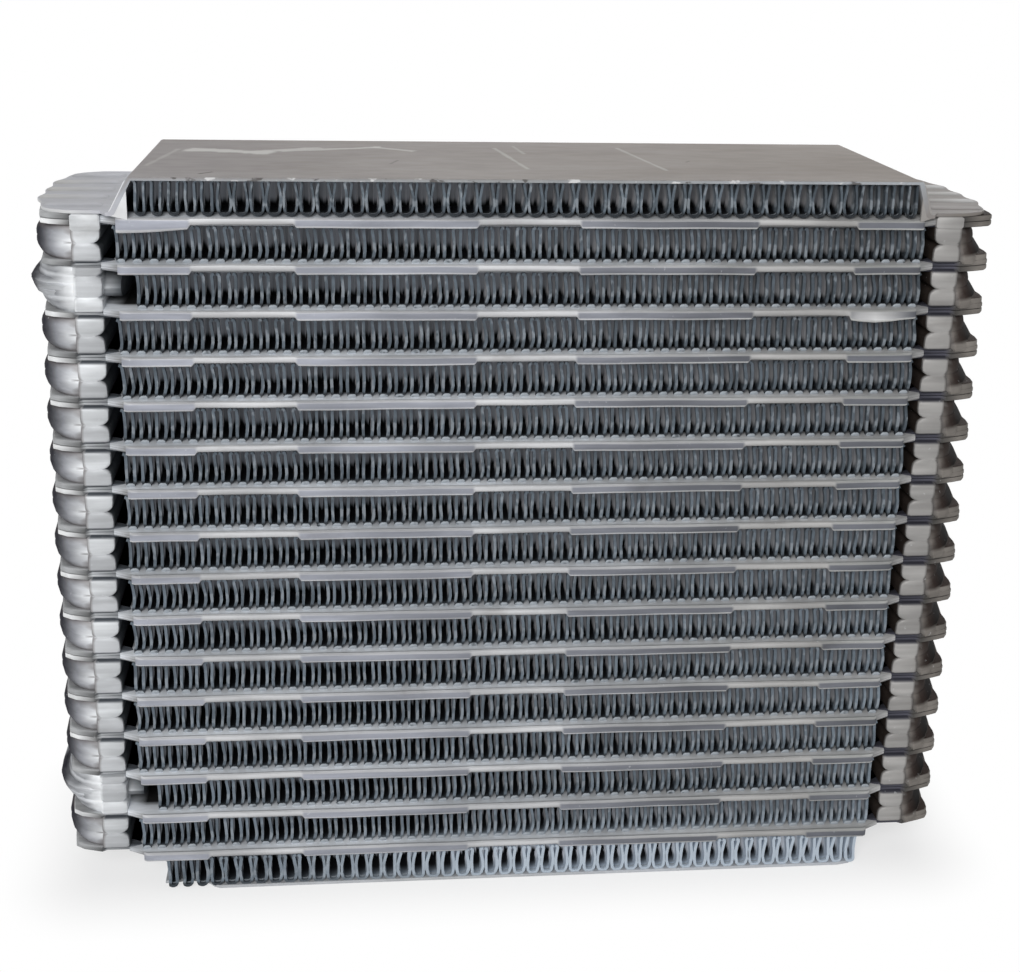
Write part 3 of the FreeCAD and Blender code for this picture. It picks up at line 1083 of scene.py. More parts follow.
# Painted light and shade of the edge bar: light on its rounded top and front, dark at its back and
# on the faces that look down.
EDGE = (
    EdgePoint(30.8, 0.50, 0.10, 30.8, 0.50, 0.10),
    EdgePoint(31.3, 0.80, 0.22, 31.3, 0.75, 0.14),
    EdgePoint(31.45, 1.06, 0.46, 31.4, 0.98, 0.50),
    EdgePoint(31.9, 1.16, 0.60, 31.95, 1.04, 0.62),
    EdgePoint(32.35, 0.88, 0.66, 32.42, 0.72, 0.54),
    EdgePoint(32.48, 0.30, 0.62, 32.5, 0.40, 0.30, 0.9),
    EdgePoint(32.44, -0.22, 0.52, 32.5, -0.80, 0.30, 1.0),
    EdgePoint(32.2, -0.48, 0.36, 32.46, -1.02, 0.66),
    EdgePoint(31.7, -0.52, 0.18, 32.25, -1.32, 0.50),
    EdgePoint(31.0, -0.4, 0.08, 31.75, -1.25, 0.10),
    EdgePoint(30.8, -0.1, 0.08, 31.2, -0.3, 0.08),
)


@dataclass(frozen=True)
class TankTints:
    """Colours of one side's tank: faces, barrel, rims and the wall beside the fins, most of them
    painted light and shade.
    """

    face_high: Colour
    face_low: Colour
    # painted highlight beside the face
    painted_highlight: Colour
    barrel: Colour
    end: Colour
    # painted shadow under the rim above
    painted_shadow_under_rim: Colour
    rim_high: Colour
    rim_low: Colour
    ledge: Colour
    groove: Colour
    groove_line: Colour
    inner: Colour


# Left tank in painted light: light faces, a painted highlight beside them, a barrel that darkens to
# black painted shade at its far end, painted shadow under the rims, a bright lower rim, a dark
# groove with a light line, and painted shade on the wall beside the fins.
LEFT_TANK = TankTints(
    face_high=(0.70, 0.72, 0.74), face_low=(0.56, 0.575, 0.595), painted_highlight=(0.90, 0.92, 0.94),
    barrel=(0.36, 0.37, 0.40), end=(0.02, 0.02, 0.028), painted_shadow_under_rim=(0.16, 0.135, 0.13),
    rim_high=(0.46, 0.47, 0.48), rim_low=(0.92, 0.93, 0.94), ledge=(0.50, 0.51, 0.52),
    groove=(0.10, 0.11, 0.125), groove_line=(0.62, 0.64, 0.66), inner=(0.10, 0.11, 0.12))

# Right tank in painted shade: darker faces, and a near-black barrel, ledge and far end.
RIGHT_TANK = TankTints(
    face_high=(0.42, 0.41, 0.40), face_low=(0.38, 0.37, 0.36), painted_highlight=(0.21, 0.19, 0.175),
    barrel=(0.05, 0.037, 0.033), end=(0.006, 0.005, 0.005), painted_shadow_under_rim=(0.05, 0.04, 0.035),
    rim_high=(0.25, 0.23, 0.21), rim_low=(0.25, 0.23, 0.21), ledge=(0.035, 0.026, 0.023),
    groove=(0.06, 0.06, 0.075), groove_line=(0.10, 0.10, 0.125), inner=(0.045, 0.035, 0.03))


@dataclass
class Tank:
    """The share of one plate in a tank: its rim, its ledge and its drawn cup."""

    side: int
    seam: float
    half: Half

    @property
    def tints(self) -> TankTints:
        """Colours of this side."""
        return RIGHT_TANK if self.side > 0 else LEFT_TANK

    def _mirrored(self, half_plan: Sequence[Point2]) -> list[Point2]:
        """Whole outline, counter-clockwise, out of the front half of the right side."""
        points = list(half_plan) + [(x, -y) for x, y in reversed(half_plan)]
        return points if self.side > 0 else [(-x, y) for x, y in reversed(points)]

    def ledge_plan(self) -> list[Point2]:
        """Outline of the plate over the tank."""
        front = CORE.tank_front - 1.1
        end = ([(115.0, -27.6), (117.5, -26.6), (118.6, -25.0), (119.0, -22.6), (119.3, -14.0),
                (119.0, -4.0)] if self.side > 0 else
               [(114.8, -27.6), (117.1, -25.9), (117.8, -21.6), (118.4, -17.0), (118.9, -11.0),
                (119.2, -5.0)])
        return self._mirrored([(99.2, -front), (108.6, -front), (109.9, -(front + 0.75)), *end])

    def cup_plan(self, back: float, inner: float, notch: float, outer: float) -> list[Point2]:
        """Outline of the cup.

        Args:
            back: how far the face stands behind the tank's front.
            inner: how far the wall beside the fins is drawn in.
            notch: how far the face's outer edge is drawn in.
            outer: how far the barrel is drawn in.

        Returns:
            The points.
        """
        y = CORE.tank_front - back
        start = CORE.tank_start + inner
        barrel = ([(109.9, -28.6), (111.6, -27.8), (113.6, -25.8), (115.3, -22.2),
                   (116.8, -17.6), (118.2, -12.6), (119.2, -7.4), (119.8, -2.5)]
                  if self.side > 0 else
                  [(109.7, -28.75), (111.6, -28.5), (114.0, -27.5), (116.4, -25.3),
                   (118.3, -22.0), (119.5, -18.0), (119.9, -12.0), (119.95, -4.0)])
        pulled = [(min(x - outer * (0.3 + 0.7 * (x - BARREL_START) / BARREL_LENGTH), TANK_END),
                   y_ + outer * 0.35) for x, y_ in barrel]
        return self._mirrored([
            (start, -(y - 1.1)), (start + 0.25, -(y - 0.35)), (start + 0.9, -y),
            (108.8 - notch, -y), (109.45 - notch, -(y - 0.2)), (109.65 - notch * 0.5, -(y - 0.7)),
            *pulled])

    def _ledge_tint(self, x: float, y: float, z: float) -> Colour:
        """Colour of the rim and ledge at a point: painted light and shade of the tank's side, a
        dark line at the seam, and painted shade in the groove, beside the face, under the rim and
        at the far left end.
        """
        tints = self.tints
        reach, level = abs(x), abs(z - self.seam)
        upper = self.half is Half.UPPER
        if reach < 109.2 and y < 0:
            if reach < 102.0:
                return tints.groove
            return tints.groove_line if level < 0.5 else tints.groove
        edge = tints.rim_high if upper else tints.rim_low
        if level > 1.4:
            return tints.ledge if upper else tints.painted_shadow_under_rim
        if level < 0.12:
            return blend(0.65, edge, shade(0.05))
        if reach < 110.2 and y < 0:
            return blend(0.8, edge, shade(0.06))
        if self.side > 0:
            return edge
        return blend(ease(reach, 117.2, 118.4) * (1.0 - end_share(y)), edge, tints.end)

    def _rim_tint(self, x: float, y: float, z: float) -> Colour:
        """Colour of the raised rim of the right tank: painted shade, near black away from the seam.
        """
        return self.tints.rim_high if abs(z - self.seam) < 2.8 else self.tints.barrel

    def ledge(self, draft: Draft) -> None:
        """Flat ledge with a rounded edge round the foot of the cup."""
        plan = self.ledge_plan()
        sign = self.half.value
        levels = [(self.seam + sign * z, inset(plan, pull)) for z, pull in (
            (0.03, 0.24), (0.14, 0.05), (0.36, 0.0), (1.0, 0.0), (1.3, 0.1), (1.45, 0.34),
            (1.5, 0.7))]
        draft.layers(levels, self._ledge_tint)

    def rim(self, draft: Draft) -> None:
        """Raised rim round the foot of a right cup."""
        plan = self._mirrored([(110.4, -28.0), (115.0, -27.5), (117.3, -26.5), (118.4, -24.9),
                               (118.8, -22.6), (119.1, -14.0), (118.8, -4.0)])
        draft.layers([(self.seam + z, inset(plan, pull)) for z, pull in (
            (1.2, 0.1), (1.5, 0.0), (2.6, 0.05), (2.85, 0.25), (2.9, 0.7))], self._rim_tint)

    def _cup_tint(self, x: float, y: float, z: float) -> Colour:
        """Colour of the cup at a point, with painted light and shade: shaded wall beside the fins,
        face and groove, a painted highlight beside the face, a barrel that darkens to its far end,
        painted shadow under the rim, and plain sheet further back.
        """
        tints = self.tints
        reach, level = abs(x), abs(z - self.seam)
        upper = self.half is Half.UPPER
        face = tints.face_low if upper else tints.face_high
        if reach < 102.9 + ease(level, 4.0, 5.7) * 1.6 and abs(y) < CORE.tank_front - 0.6:
            return tints.inner
        if reach < 109.0:
            return blend(1.0 - ease(level, 1.1, 1.7), face, tints.groove)
        if reach < 109.68:
            return blend(0.6, face, tints.painted_shadow_under_rim)
        if self.side > 0 and upper and level < 2.7:
            return tints.rim_high
        middle = ease(level, 3.2, 5.4)
        start = blend(middle, blend(0.4, tints.barrel, tints.painted_highlight), tints.painted_highlight)
        far = 112.2 if self.side > 0 else 113.8
        colour = blend(ease(reach, 110.0, far), start, tints.barrel)
        low, high = (112.0, 116.0) if self.side > 0 else (113.6, 118.0)
        colour = blend(ease(reach, low, high), colour, tints.end)
        plain = shade(0.30 + 0.14 * ease(level, 2.0, 4.6))
        colour = blend(end_share(y), colour, plain)
        # painted shadow under the rim above
        dim = 1.0 - ease(level, 1.5, 2.9 if upper else 3.4)
        return blend((0.75 - 0.5 * end_share(y)) * dim, colour, tints.painted_shadow_under_rim)

    def cup(self, draft: Draft) -> None:
        """Drawn cup that meets the one of the next plate in the middle of the row."""
        deep = CORE.half_tube + CORE.fin_height / 2
        sign = self.half.value
        levels = []
        for z, back, inner, notch, outer in (
                (0.7, 1.1, 0.5, 0.3, 3.0), (1.05, 0.5, 0.3, 0.2, 2.6), (1.3, 0.16, 0.12, 0.1, 2.2),
                (1.7, 0.0, 0.0, 0.0, 1.5), (2.4, 0.0, 0.0, 0.0, 0.8), (3.3, 0.0, 0.0, 0.0, 0.25),
                (4.3, 0.0, 0.12, 0.05, 0.0), (4.9, 0.0, 0.42, 0.2, 0.0),
                (5.35, 0.02, 0.9, 0.45, 0.02), (deep, 0.06, 1.55, 0.75, 0.12)):
            if self.side > 0 and self.half is Half.UPPER:
                outer = -3.0 * min(1.0, (deep - z) / (deep - 2.6))
            levels.append((self.seam + sign * z, self.cup_plan(back, inner, notch, outer)))
        draft.layers(levels, self._cup_tint)


@dataclass
class Tube(Part):
    """A flat tube of two stamped plates, whose cups make a slice of both tanks."""

    number: int
    ramp: float = 0.9
    dents: tuple[Dent, ...] = ()

    def _waviness(self, x: float, side: int) -> float:
        """Small unevenness of the front or rear edge along the tube."""
        phase = self.number * 2.39 + side
        return (0.05 * math.sin(x / 9.0 + phase) + 0.04 * math.sin(x / 3.7 + 2.1 * phase)
                + 0.06 * math.sin(x / 31.0 + 0.7 * phase))

    def _lip_share(self, x: float) -> float:
        """1 where the edge has a lip, 0 in the open stretches, between them on the ramps."""
        place_ = abs(x)
        nearest = min(abs(place_), abs(place_ - CORE.tab_spacing))
        return ease(nearest - CORE.tab_half, 0.0, self.ramp)

    def _stations(self) -> list[float]:
        """Places along the tube where the edge's section is set."""
        last = CORE.shoulder
        stations = {-last, last, -last + 0.8, last - 0.8}
        for middle in (-CORE.tab_spacing, 0.0, CORE.tab_spacing):
            for edge in (-1, 1):
                for step in (-0.4, 0.0, 0.35, 0.65, 1.0, 1.4):
                    stations.add(middle + edge * (CORE.tab_half + step * self.ramp))
        stations.update(4.0 * step - 96.0 for step in range(49))
        return sorted(stations)

    def _lip_face(self, x: float) -> Colour:
        """Colour of a lip's upright face: bluish painted shade, darker to the right."""
        phase = self.number * 1.7
        level = (0.44 - 0.12 * ease(x, -80.0, 0.0) - 0.14 * ease(x, -10.0, 55.0)
                 + 0.03 * math.sin(x / 13.0 + phase))
        return (level * 0.95, level * 0.99, level * 1.13)

    def _edge(self, draft: Draft, side: int) -> None:
        """Front or rear edge bar: rounded over, with lips between the open stretches."""
        seam = CORE.seam(self.number)
        rings, tints = [], []
        for x in self._stations():
            share = self._lip_share(x)
            end = min(1.0, (CORE.shoulder - abs(x)) / 0.8)
            wave = self._waviness(x, side)
            drop = sum(dent.drop * dent.share(x) for dent in self.dents) if side < 0 else 0.0
            bright = sum(dent.bright * dent.share(x) for dent in self.dents) if side < 0 else 0.0
            ring, colours = [], []
            for point in EDGE:
                y = point.y + (point.lip_y - point.y) * share
                z = point.z + (point.lip_z - point.z) * share
                lower = max(0.0, (0.4 - z) / 1.7)
                y = 31.0 + (y - 31.0) * (0.6 + 0.4 * end)
                ring.append((x, side * y, seam + z + wave - drop * lower))
                # painted shade: the bar grows darker and warmer to the right
                warm = ease(x, 0.0, 90.0)
                level = point.level * (1.0 - 0.25 * warm)
                open_ = (level, level * (1.01 - 0.02 * warm), level * (1.03 - 0.06 * warm))
                level = point.lip_level * (1.0 - 0.15 * warm)
                lip = (level, level * 1.01, level * (1.04 - 0.05 * warm))
                lip = blend(point.face, lip, self._lip_face(x))
                colour = blend(share, open_, lip)
                colours.append(blend(bright * (point.face > 0.5), colour, shade(0.85)))
            rings.append(ring)
            tints.append(colours)
        draft.loft(rings, tints=tints)

    def _channel_tint(self, x: float, y: float, z: float) -> Colour:
        """Colour of the channel, with painted light and shade: light slopes at the long edges that
        grow darker to the right, a shaded groove under the edge bar, and dark between the fins.
        """
        away = abs(y)
        warm = ease(x, -20.0, 90.0)
        slope = (0.77 - 0.20 * warm, 0.80 - 0.23 * warm, 0.84 - 0.27 * warm)
        groove = shade(0.25)
        colour = blend(ease(away, 30.9, 31.4), slope, groove)
        deep = 1.0 - ease(away, 26.0, 28.2)
        inner = 1.0 - ease(abs(x), 99.0, 101.0)
        return blend(deep * inner, colour, shade(0.02))

    def _channel(self, draft: Draft, half: Half) -> None:
        """Flat channel with a sloped shoulder towards both long edges."""
        sign = half.value
        seam = CORE.seam(self.number)
        profile = [(31.6, 0.3), (31.3, 0.74), (30.8, 0.93), (30.0, 1.14), (29.3, 1.34),
                   (28.6, 1.46), (28.0, 1.5), (26.0, 1.5)]
        rings = []
        last = CORE.shoulder if self.number == CORE.rows - 1 and half is Half.LOWER else 102.8
        for x, pull in ((-last, 2.6), (-CORE.shoulder + 0.6, 0.0), (-60.0, 0.0), (-20.0, 0.0),
                        (20.0, 0.0), (60.0, 0.0), (CORE.shoulder - 0.6, 0.0), (last, 2.6)):
            front = [(x, -(y - pull), seam + sign * z) for y, z in profile]
            rear = [(x, y - pull, seam + sign * z) for y, z in reversed(profile)]
            base = [(x, 31.5 - pull, seam + sign * 0.02), (x, -(31.5 - pull), seam + sign * 0.02)]
            rings.append(front + rear + base)
        draft.loft(rings, self._channel_tint)

    def _face_flap(self, draft: Draft, side: int) -> None:
        """Flat flap in front of the uppermost seam, which reaches up to the end plate."""
        seam = CORE.seam(1)
        tank = Tank(side, seam, Half.LOWER)
        low = seam - 2.7 if side < 0 else seam - 1.6
        front = CORE.tank_front
        ends = sorted((side * CORE.tank_start, side * CORE.face_end))
        outline = [(ends[0], low + 0.5), (ends[0] + 0.5, low), (ends[1] - 0.5, low),
                   (ends[1], low + 0.5), (ends[1], seam + 1.0), (ends[1] - 0.5, seam + 1.4),
                   (ends[0] + 0.5, seam + 1.4), (ends[0], seam + 1.0)]
        rings = []
        for y, share in ((-front + 1.2, 1.0), (-front - 0.15, 1.0), (-front - 0.3, 0.94)):
            middle_x, middle_z = sum(ends) / 2, seam - 0.3
            rings.append([(middle_x + (x - middle_x) * share, y, middle_z + (z - middle_z) * share)
                          for x, z in outline])
        draft.loft(rings, lambda x, y, z: tank.tints.face_high)

    def label(self) -> str:
        """Name of the tube."""
        return f"tube_{self.number:02d}"

    def draw(self, draft: Draft) -> None:
        """Draws both plates of the tube as one piece."""
        for side in (-1, 1):
            self._edge(draft, side)
            if self.number == 1:
                self._face_flap(draft, side)
        for half, row in ((Half.UPPER, self.number), (Half.LOWER, self.number + 1)):
            self._channel(draft, half)
            if row == CORE.rows:
                continue
            sides = (1,) if row in CORE.port_rows else (1, -1)
            for side in sides:
                tank = Tank(side, CORE.seam(self.number), half)
                tank.ledge(draft)
                if row == 1:
                    continue
                tank.cup(draft)
                if side > 0 and half is Half.UPPER:
                    tank.rim(draft)


@dataclass
class TubeStack:
    """All tubes of the core, with the dents that single ones have."""

    dents: dict[int, tuple[Dent, ...]] = field(default_factory=lambda: {
        1: (Dent(-98.6, 24.0, drop=1.3),),
        3: (Dent(88.0, 11.0, drop=0.9, bright=0.8),),
    })

    def build(self, material: bpy.types.Material) -> None:
        """Builds every tube and lets it replace its two plates."""
        for number in range(1, CORE.rows):
            tube = Tube(number, dents=self.dents.get(number, ()))
            nodes = [f"{tube.label()}_{half}_plate" for half in ("upper", "lower")]
            fit(tube.build(material), nodes)


# End plates


@dataclass
class TopEndPlate(Part):
    """Pressed top sheet: raised middle, two slopes with webs, ribs over the tanks."""

    sheet: float = CORE.end_sheet
    rib_spacing: float = 11.0
    rib_count: int = 5
    sharp = SHEET_SHARP

    def label(self) -> str:
        """Name of the plate."""
        return "top_sheet"

    def _rib_places(self) -> list[float]:
        """Depths of the ribs' middles."""
        return [(number - (self.rib_count - 1) / 2) * self.rib_spacing
                for number in range(self.rib_count)]

    def _tint(self, x: float, y: float, z: float) -> Colour:
        """Colour of the sheet: warm on top, light at its front edges; painted light makes the left
        lighter and cooler, painted shade makes the right darker.
        """
        top = CORE.top
        if y < -CORE.half_depth + 0.3 and top - 1.0 < z < top - 0.12:
            return (0.40, 0.42, 0.44)
        warm = ease(x, -110.0, -90.0)
        # painted light on the left of the sheet, painted shade on the right
        left = (0.56, 0.57, 0.61)
        right = (0.29, 0.273, 0.262)
        raised = blend(ease(x, -60.0, 60.0), (0.275, 0.25, 0.238), (0.245, 0.214, 0.19))
        colour = blend(warm, left, raised)
        if abs(x) > self._raised(1 if x > 0 else -1, y) + 0.2 or z < top - 0.9:
            colour = left if x < 0 else right
        # painted light at the low front over the left tank, painted shade over the right one
        if z < CORE.row_bottom(1) + self.sheet - 0.05 and y < 0 and abs(x) > 109.0:
            colour = (0.74, 0.75, 0.76) if x < 0 else (0.26, 0.24, 0.22)
        return colour

    @staticmethod
    def _raised(side: int, y: float) -> float:
        """How far the raised middle reaches on a side, a little further in front."""
        front = 0.5 - y / (2 * CORE.half_depth)
        return CORE.raised_end + (1.2 + 0.8 * front if side > 0 else 1.2 * front - 0.8)

    def _half(self, side: int, y: float, end: float) -> tuple[list[Point], list[Point]]:
        """Upper and lower line of one half of the section, from its end to the middle."""
        base = CORE.row_bottom(1)
        top = CORE.top
        sheet = self.sheet
        raised, foot = self._raised(side, y), min(CORE.slope_foot, end - 0.9)
        upper = [(end, base + 0.12), (end, base + sheet - 0.12), (end - 0.1, base + sheet),
                 (foot + 0.6, base + sheet), (foot, base + sheet + 0.25),
                 (foot - 0.4, base + sheet + 0.8), (raised + 0.45, top - 0.75),
                 (raised + 0.1, top - 0.18), (raised - 0.45, top)]
        lower = [(end - 0.1, base), (foot - 0.4, base), (foot - 1.1, base + 0.4),
                 (raised - 0.8, top - sheet)]
        return [(side * x, y, z) for x, z in upper], [(side * x, y, z) for x, z in lower]

    def _section(self, y: float, end: float) -> list[Point]:
        """Section across the plate at one depth, ending at the plan's outline."""
        right, right_under = self._half(1, y, end)
        left, left_under = self._half(-1, y, end)
        return right + left[::-1] + left_under + right_under[::-1]

    def _ends(self) -> list[Point2]:
        """Depth and reach of the plan's outline, front to rear, waved where ribs end."""
        front = [(-CORE.half_depth, CORE.slope_foot + 1.0), (-CORE.tank_front - 0.1, 102.4),
                 (-CORE.tank_front, CORE.face_end - 0.4), (-CORE.tank_front + 0.5, 110.9),
                 (-27.2, 114.6), (-25.5, 116.2)]
        points = list(front)
        y = -24.5
        while y < 24.6:
            nearest = min(abs(y - middle) for middle in self._rib_places())
            hull = 116.6 + 3.0 * ease(-abs(y), -25.0, -12.0)
            wave = math.cos(math.pi * min(2 * nearest / self.rib_spacing, 1.0))
            points.append((y, hull + 0.4 * wave))
            y += 1.4
        return points + [(-y, x) for y, x in reversed(front)]

    def _web(self, draft: Draft, side: int, face: int) -> None:
        """Three-cornered web that closes the slope's end at the front or rear."""
        base, top = CORE.row_bottom(1), CORE.top
        y = face * (CORE.half_depth - 0.06)
        raised, foot = self._raised(side, y), CORE.slope_foot
        back = face * (CORE.half_depth - self.sheet)
        corners = [(raised + 0.3, base - 0.9), (foot + 0.9, base + 0.2), (foot + 0.2, base + 1.0),
                   (raised + 0.75, top - 0.9), (raised + 0.4, top - 0.9)]
        rings = [[(side * x, depth, z) for x, z in corners] for depth in (y, back)]
        # painted light on the left web, painted shade on the right one
        colour = (0.80, 0.81, 0.82) if side < 0 else (0.36, 0.345, 0.33)
        draft.loft(rings, lambda x, y, z: colour)

    def _rib(self, draft: Draft, side: int, y: float) -> None:
        """Low round rib along the core over a tank."""
        base = CORE.row_bottom(1) + self.sheet
        limit = 116.4 + 3.2 * ease(-abs(y), -25.0, -12.0)
        height = 0.5 if side < 0 else 0.34
        rings = []
        for x, share in ((102.6, 0.05), (103.2, 0.6), (104.2, 1.0), (limit - 1.6, 1.0),
                         (limit - 0.5, 0.7), (limit, 0.1)):
            ring = []
            for step in range(7):
                turn = math.pi * step / 6
                ring.append((side * x, y - 2.8 * math.cos(turn) * (0.6 + 0.4 * share),
                             base - 0.05 + height * share * math.sin(turn)))
            rings.append(ring)

        def tint(x: float, y: float, z: float) -> Colour:
            """Colour of the rib: painted light on its back, painted shade at its foot and a painted
            highlight where it ends.
            """
            colour = blend(ease(abs(x), 115.5, 118.5), self._tint(x, y, z), shade(0.6))
            lift = 0.82 + 0.26 * ease(z, base, base + height)
            return tuple(channel * lift for channel in colour)

        draft.loft(rings, tint)

    def draw(self, draft: Draft) -> None:
        """Draws the sheet, its webs and its ribs."""
        draft.loft([self._section(y, end) for y, end in self._ends()], self._tint)
        for side in (-1, 1):
            for face in (-1, 1):
                self._web(draft, side, face)
            for y in self._rib_places():
                self._rib(draft, side, y)


@dataclass
class BottomEndPlate(Part):
    """Thin sheet under the lowest fin row, torn back at its front left corner."""

    sheet: float = CORE.end_sheet
    front: float = 31.7
    sharp = SHEET_SHARP

    def label(self) -> str:
        """Name of the sheet."""
        return "bottom_sheet"

    def draw(self, draft: Draft) -> None:
        """Draws the sheet with its torn corner."""
        half, depth = CORE.bottom_end, CORE.half_depth
        near, end = self.front, half + 1.8
        front = [(1.8 - half, -28.6), (-90.0, -28.2), (-87.4, -27.6), (-85.0, -28.4),
                 (-82.0, -29.4), (-80.5, -31.0), (-79.0, -near), (end - 6.0, -near),
                 (end - 2.5, -31.0), (end, -29.0)]
        plan = front + [(end, depth), (1.8 - half, depth)]
        draft.layers([(0.0, inset(plan, 0.15)), (0.15, plan), (self.sheet - 0.15, plan),
                      (self.sheet, inset(plan, 0.15))], lambda x, y, z: (0.60, 0.62, 0.65))


@dataclass
class PortBlock(Part):
    """Block in the left tank with a flange and a round inner end."""

    row: int

    def label(self) -> str:
        """Name of the block."""
        return f"port_{self.row:02d}"

    def _tint(self, x: float, y: float, z: float) -> Colour:
        """Colour of the block: painted shade beside the fins, light face, painted light on the
        flange's ridges and shade in its grooves, a painted highlight near the face and painted
        shade towards the end.
        """
        tints = LEFT_TANK
        reach, level = abs(x), z - CORE.row_bottom(self.row) - CORE.fin_height / 2
        if reach < 102.2:
            return (0.10, 0.11, 0.12)
        if reach < 109.3:
            return tints.face_high if level < -1.9 else tints.face_low
        # painted light on the flange's ridges and painted shade in its grooves
        ridge = 0.5 + 0.5 * math.cos(2.0 * math.pi * (level - 1.5) / 1.9)
        colour = blend(ridge, (0.30, 0.31, 0.33), (0.68, 0.70, 0.73))
        colour = blend(ease(reach, 110.0, 114.0), tints.painted_highlight, colour)
        return blend(ease(reach, 117.0, 120.5) * (1.0 - end_share(y)), colour, tints.end)

    def draw(self, draft: Draft) -> None:
        """Draws the block, its flange and its inner end."""
        middle = CORE.row_bottom(self.row) + CORE.fin_height / 2
        tank = Tank(-1, middle, Half.UPPER)
        half = CORE.fin_height / 2 + CORE.half_tube
        draft.layers([(middle + z, tank.cup_plan(back, inner, notch, outer))
                      for z, back, inner, notch, outer in (
            (-half, 0.6, 0.5, 0.4, 2.6), (0.35 - half, 0.1, 0.1, 0.1, 2.0),
            (-4.6, 0.0, 0.0, 0.0, 1.3), (-3.4, 0.0, 0.0, 0.0, 0.6), (-2.5, 0.0, 0.1, 0.1, 0.2),
            (-2.1, 0.06, 0.7, 0.45, 0.3), (-1.9, 0.1, 0.95, 0.6, 0.4), (-1.7, 0.06, 0.7, 0.45, 0.2),
            (-1.2, 0.0, 0.1, 0.1, 0.0), (1.2, 0.0, 0.0, 0.0, 0.0), (2.8, 0.0, 0.1, 0.1, 0.0),
            (3.2, 0.06, 0.7, 0.45, 0.2), (3.4, 0.1, 0.95, 0.6, 0.3), (3.6, 0.06, 0.7, 0.45, 0.4),
            (4.1, 0.0, 0.1, 0.1, 0.3), (half - 0.3, 0.05, 0.1, 0.1, 0.8),
            (half, 0.5, 0.5, 0.4, 1.4))], self._tint)
        plan = tank.cup_plan(0.25, 0.6, 0.6, 0.0)
        wide = [(x - 1.9 * ease(-x, 109.6, 114.0), y) for x, y in plan]
        draft.layers([(middle + z, inset(wide, pull)) for z, pull in (
            (-2.3, 1.7), (-1.9, 1.1), (-0.7, 0.5), (-0.45, 0.7), (-0.2, 0.35), (0.9, 0.0),
            (1.15, 0.25), (1.4, 0.0), (2.3, 0.6), (2.6, 1.2))], self._tint)
        rings = []
        for x, share in ((-104.0, 1.0), (-98.6, 1.0), (-98.1, 0.9), (-98.0, 0.7)):
            ring = []
            for step in range(16):
                turn = 2 * math.pi * step / 16
                wide_y = math.copysign(abs(math.cos(turn)) ** 0.4, math.cos(turn))
                ring.append((x, 27.4 * share * wide_y, middle + 3.9 * share * math.sin(turn)))
            rings.append(ring)
        draft.loft(rings, self._tint)


# Studio


@dataclass(frozen=True)
class Lamp:
    """One soft area lamp that looks at the middle of the core."""

    name: str
    at: Point
    width: float
    height: float
    power: float
    colour: Colour = (1.0, 1.0, 1.0)

    def build(self) -> None:
        """Adds the lamp."""
        light = bpy.data.lights.new(self.name, "AREA")
        light.shape = "RECTANGLE"
        light.size, light.size_y = self.width, self.height
        light.energy = self.power
        light.color = self.colour
        lamp = bpy.data.objects.new(self.name, light)
        bpy.context.scene.collection.objects.link(lamp)
        lamp.location = self.at
        aim = Vector(AIM) - Vector(self.at)
        lamp.rotation_euler = aim.to_track_quat("-Z", "Y").to_euler()


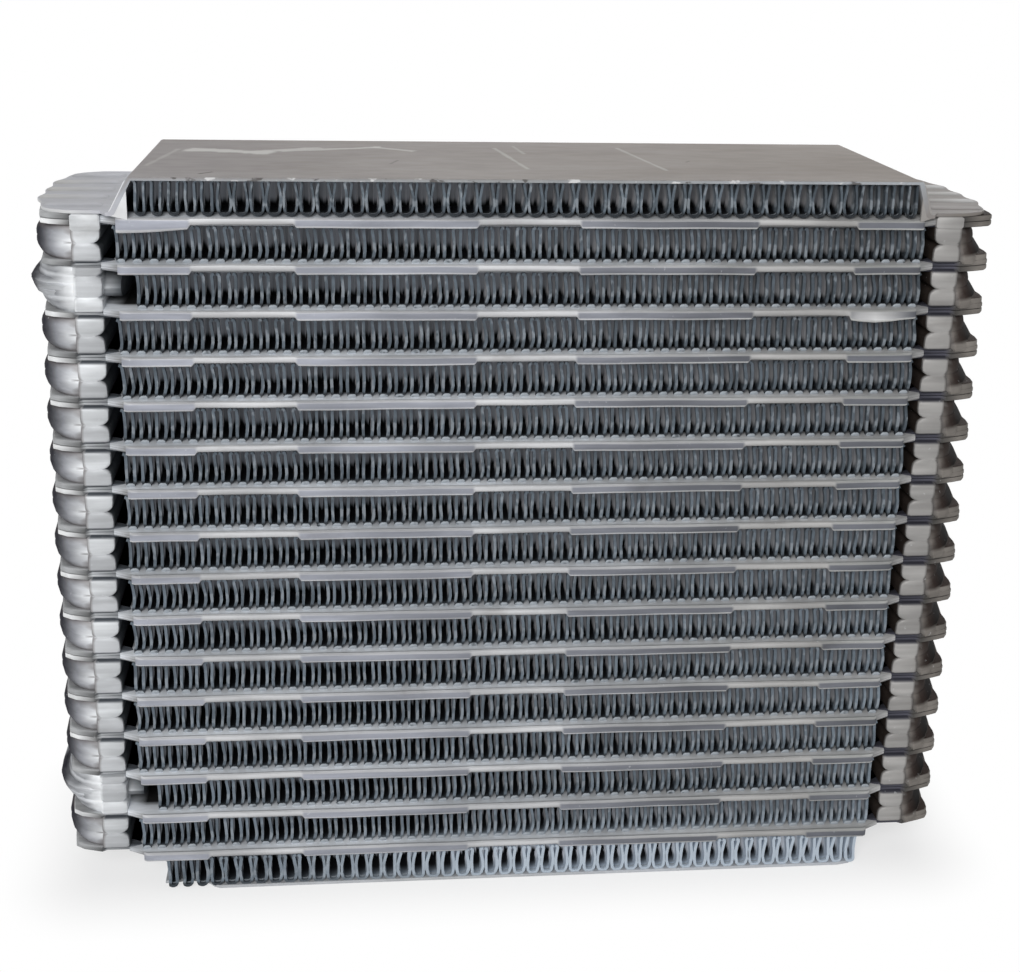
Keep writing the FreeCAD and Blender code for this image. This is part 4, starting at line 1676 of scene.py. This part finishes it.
@dataclass(frozen=True)
class Studio:
    """Camera, floor, backdrop and lamps."""

    eye: Point = (-45.884, -405.099, 252.438)
    yaw: float = -5.835
    pitch: float = 16.016
    roll: float = 1.262
    lens: float = 55.544
    shift: Point2 = (0.0146, -0.11373)
    ambient: float = 0.2
    floor_half: float = 3000.0
    floor_thickness: float = 20.0
    shadow_reach: Point = (0.11, 0.025, 5.0)
    floor_glow: float = 0.62
    lamps: tuple[Lamp, ...] = (
        Lamp("key", (-0.45, -1.3, 0.8), 0.8, 0.8, 12.5),
        Lamp("top", (-0.15, 0.05, 1.5), 1.2, 1.0, 1.8),
        Lamp("rear", (0.3, 1.3, 0.8), 1.0, 0.8, 4.0),
    )

    def camera(self) -> None:
        """Camera at the photograph's place and angle."""
        yaw, pitch, roll = (math.radians(angle) for angle in (self.yaw, self.pitch, self.roll))
        ahead = Vector((-math.sin(yaw) * math.cos(pitch), math.cos(yaw) * math.cos(pitch),
                        -math.sin(pitch)))
        right = Vector((math.cos(yaw), math.sin(yaw), 0.0))
        up = right.cross(ahead)
        across = math.cos(roll) * right + math.sin(roll) * up
        above = -math.sin(roll) * right + math.cos(roll) * up
        data = bpy.data.cameras.new("camera")
        data.lens = self.lens
        data.sensor_width = SENSOR
        data.sensor_fit = "HORIZONTAL"
        data.shift_x, data.shift_y = self.shift
        data.clip_start = 0.01
        camera = bpy.data.objects.new("camera", data)
        bpy.context.scene.collection.objects.link(camera)
        turn = Matrix((across, above, -ahead)).transposed().to_4x4()
        camera.matrix_world = Matrix.Translation(Vector(self.eye) * MM) @ turn
        bpy.context.scene.camera = camera

    @staticmethod
    def _seen(graph: Graph) -> Signal:
        """1 for camera, glossy and transmission rays."""
        total = graph.node("ShaderNodeLightPath", {}, {}, "Is Camera Ray")
        for name in ("Is Glossy Ray", "Is Transmission Ray"):
            total = total + graph.node("ShaderNodeLightPath", {}, {}, name)
        return graph.maths("MINIMUM", total, 1.0)

    def world(self) -> None:
        """White where it is seen, and a soft grey light on the object."""
        world = bpy.data.worlds.new("studio")
        world.use_nodes = True
        bpy.context.scene.world = world
        graph = Graph(world.node_tree)
        level = self.ambient + (1.0 - self.ambient) * self._seen(graph)
        back = graph.node("ShaderNodeBackground", {}, {"Color": (1.0, 1.0, 1.0, 1.0),
                                                       "Strength": level})
        graph.node("ShaderNodeOutputWorld", {}, {"Surface": back})

    def floor(self) -> None:
        """Pale floor that keeps the shadow near the core and melts into the backdrop."""
        draft = Draft()
        half = self.floor_half
        plan = [(-half, -half), (half, -half), (half, half), (-half, half)]
        draft.layers([(-self.floor_thickness, plan), (0.0, plan)])
        material = bpy.data.materials.new("pale_floor")
        material.use_nodes = True
        graph = Graph(material.node_tree)
        at = graph.node("ShaderNodeTexCoord", {}, {}, "Object")
        size = graph.node("ShaderNodeVectorMath", {"operation": "ABSOLUTE"}, {0: at})
        beyond = graph.maths("MAXIMUM", size - self.shadow_reach, 0.0)
        away = graph.node("ShaderNodeVectorMath", {"operation": "LENGTH"}, {0: beyond}, "Value")
        grain = graph.noise(at, (40.0, 40.0, 40.0), 3.0)
        tone = graph.mix(0.3 * grain, (0.93, 0.93, 0.93), (0.86, 0.86, 0.87))
        matte = graph.node("ShaderNodeBsdfDiffuse", {}, {"Color": tone, "Roughness": 0.5})
        glow = graph.node("ShaderNodeEmission", {}, {"Color": (1.0, 1.0, 1.0, 1.0),
                                                     "Strength": 1.0})
        rise = (1.0 - self.floor_glow) * away.ramp(0.0, 0.03)
        share = (self.floor_glow + rise) * self._seen(graph)
        surface = graph.node("ShaderNodeMixShader", {}, {0: share, 1: matte, 2: glow})
        graph.node("ShaderNodeOutputMaterial", {}, {"Surface": surface})
        draft.piece("floor", material)

    def build(self) -> None:
        """Sets up the whole studio."""
        bpy.context.scene.view_settings.view_transform = "Standard"
        self.camera()
        self.world()
        self.floor()
        for lamp in self.lamps:
            lamp.build()


def main() -> None:
    """Builds the studio and every piece of the core in order."""
    logging.basicConfig(level=logging.INFO, format="%(name)s %(message)s")
    Studio().build()
    tubes, ends = TubeFinish().material(), EndFinish().material()
    ports = PortFinish().material()
    FinPack().build(FinFinish().material())
    TubeStack().build(tubes)
    fit(TopEndPlate().build(ends), ["top_end_plate"])
    fit(BottomEndPlate().build(ends), ["bottom_end_plate"])
    for row, node in zip(CORE.port_rows, ("port_block_upper", "port_block_lower")):
        fit(PortBlock(row).build(ports), [node])


if __name__ == "__main__":
    main()
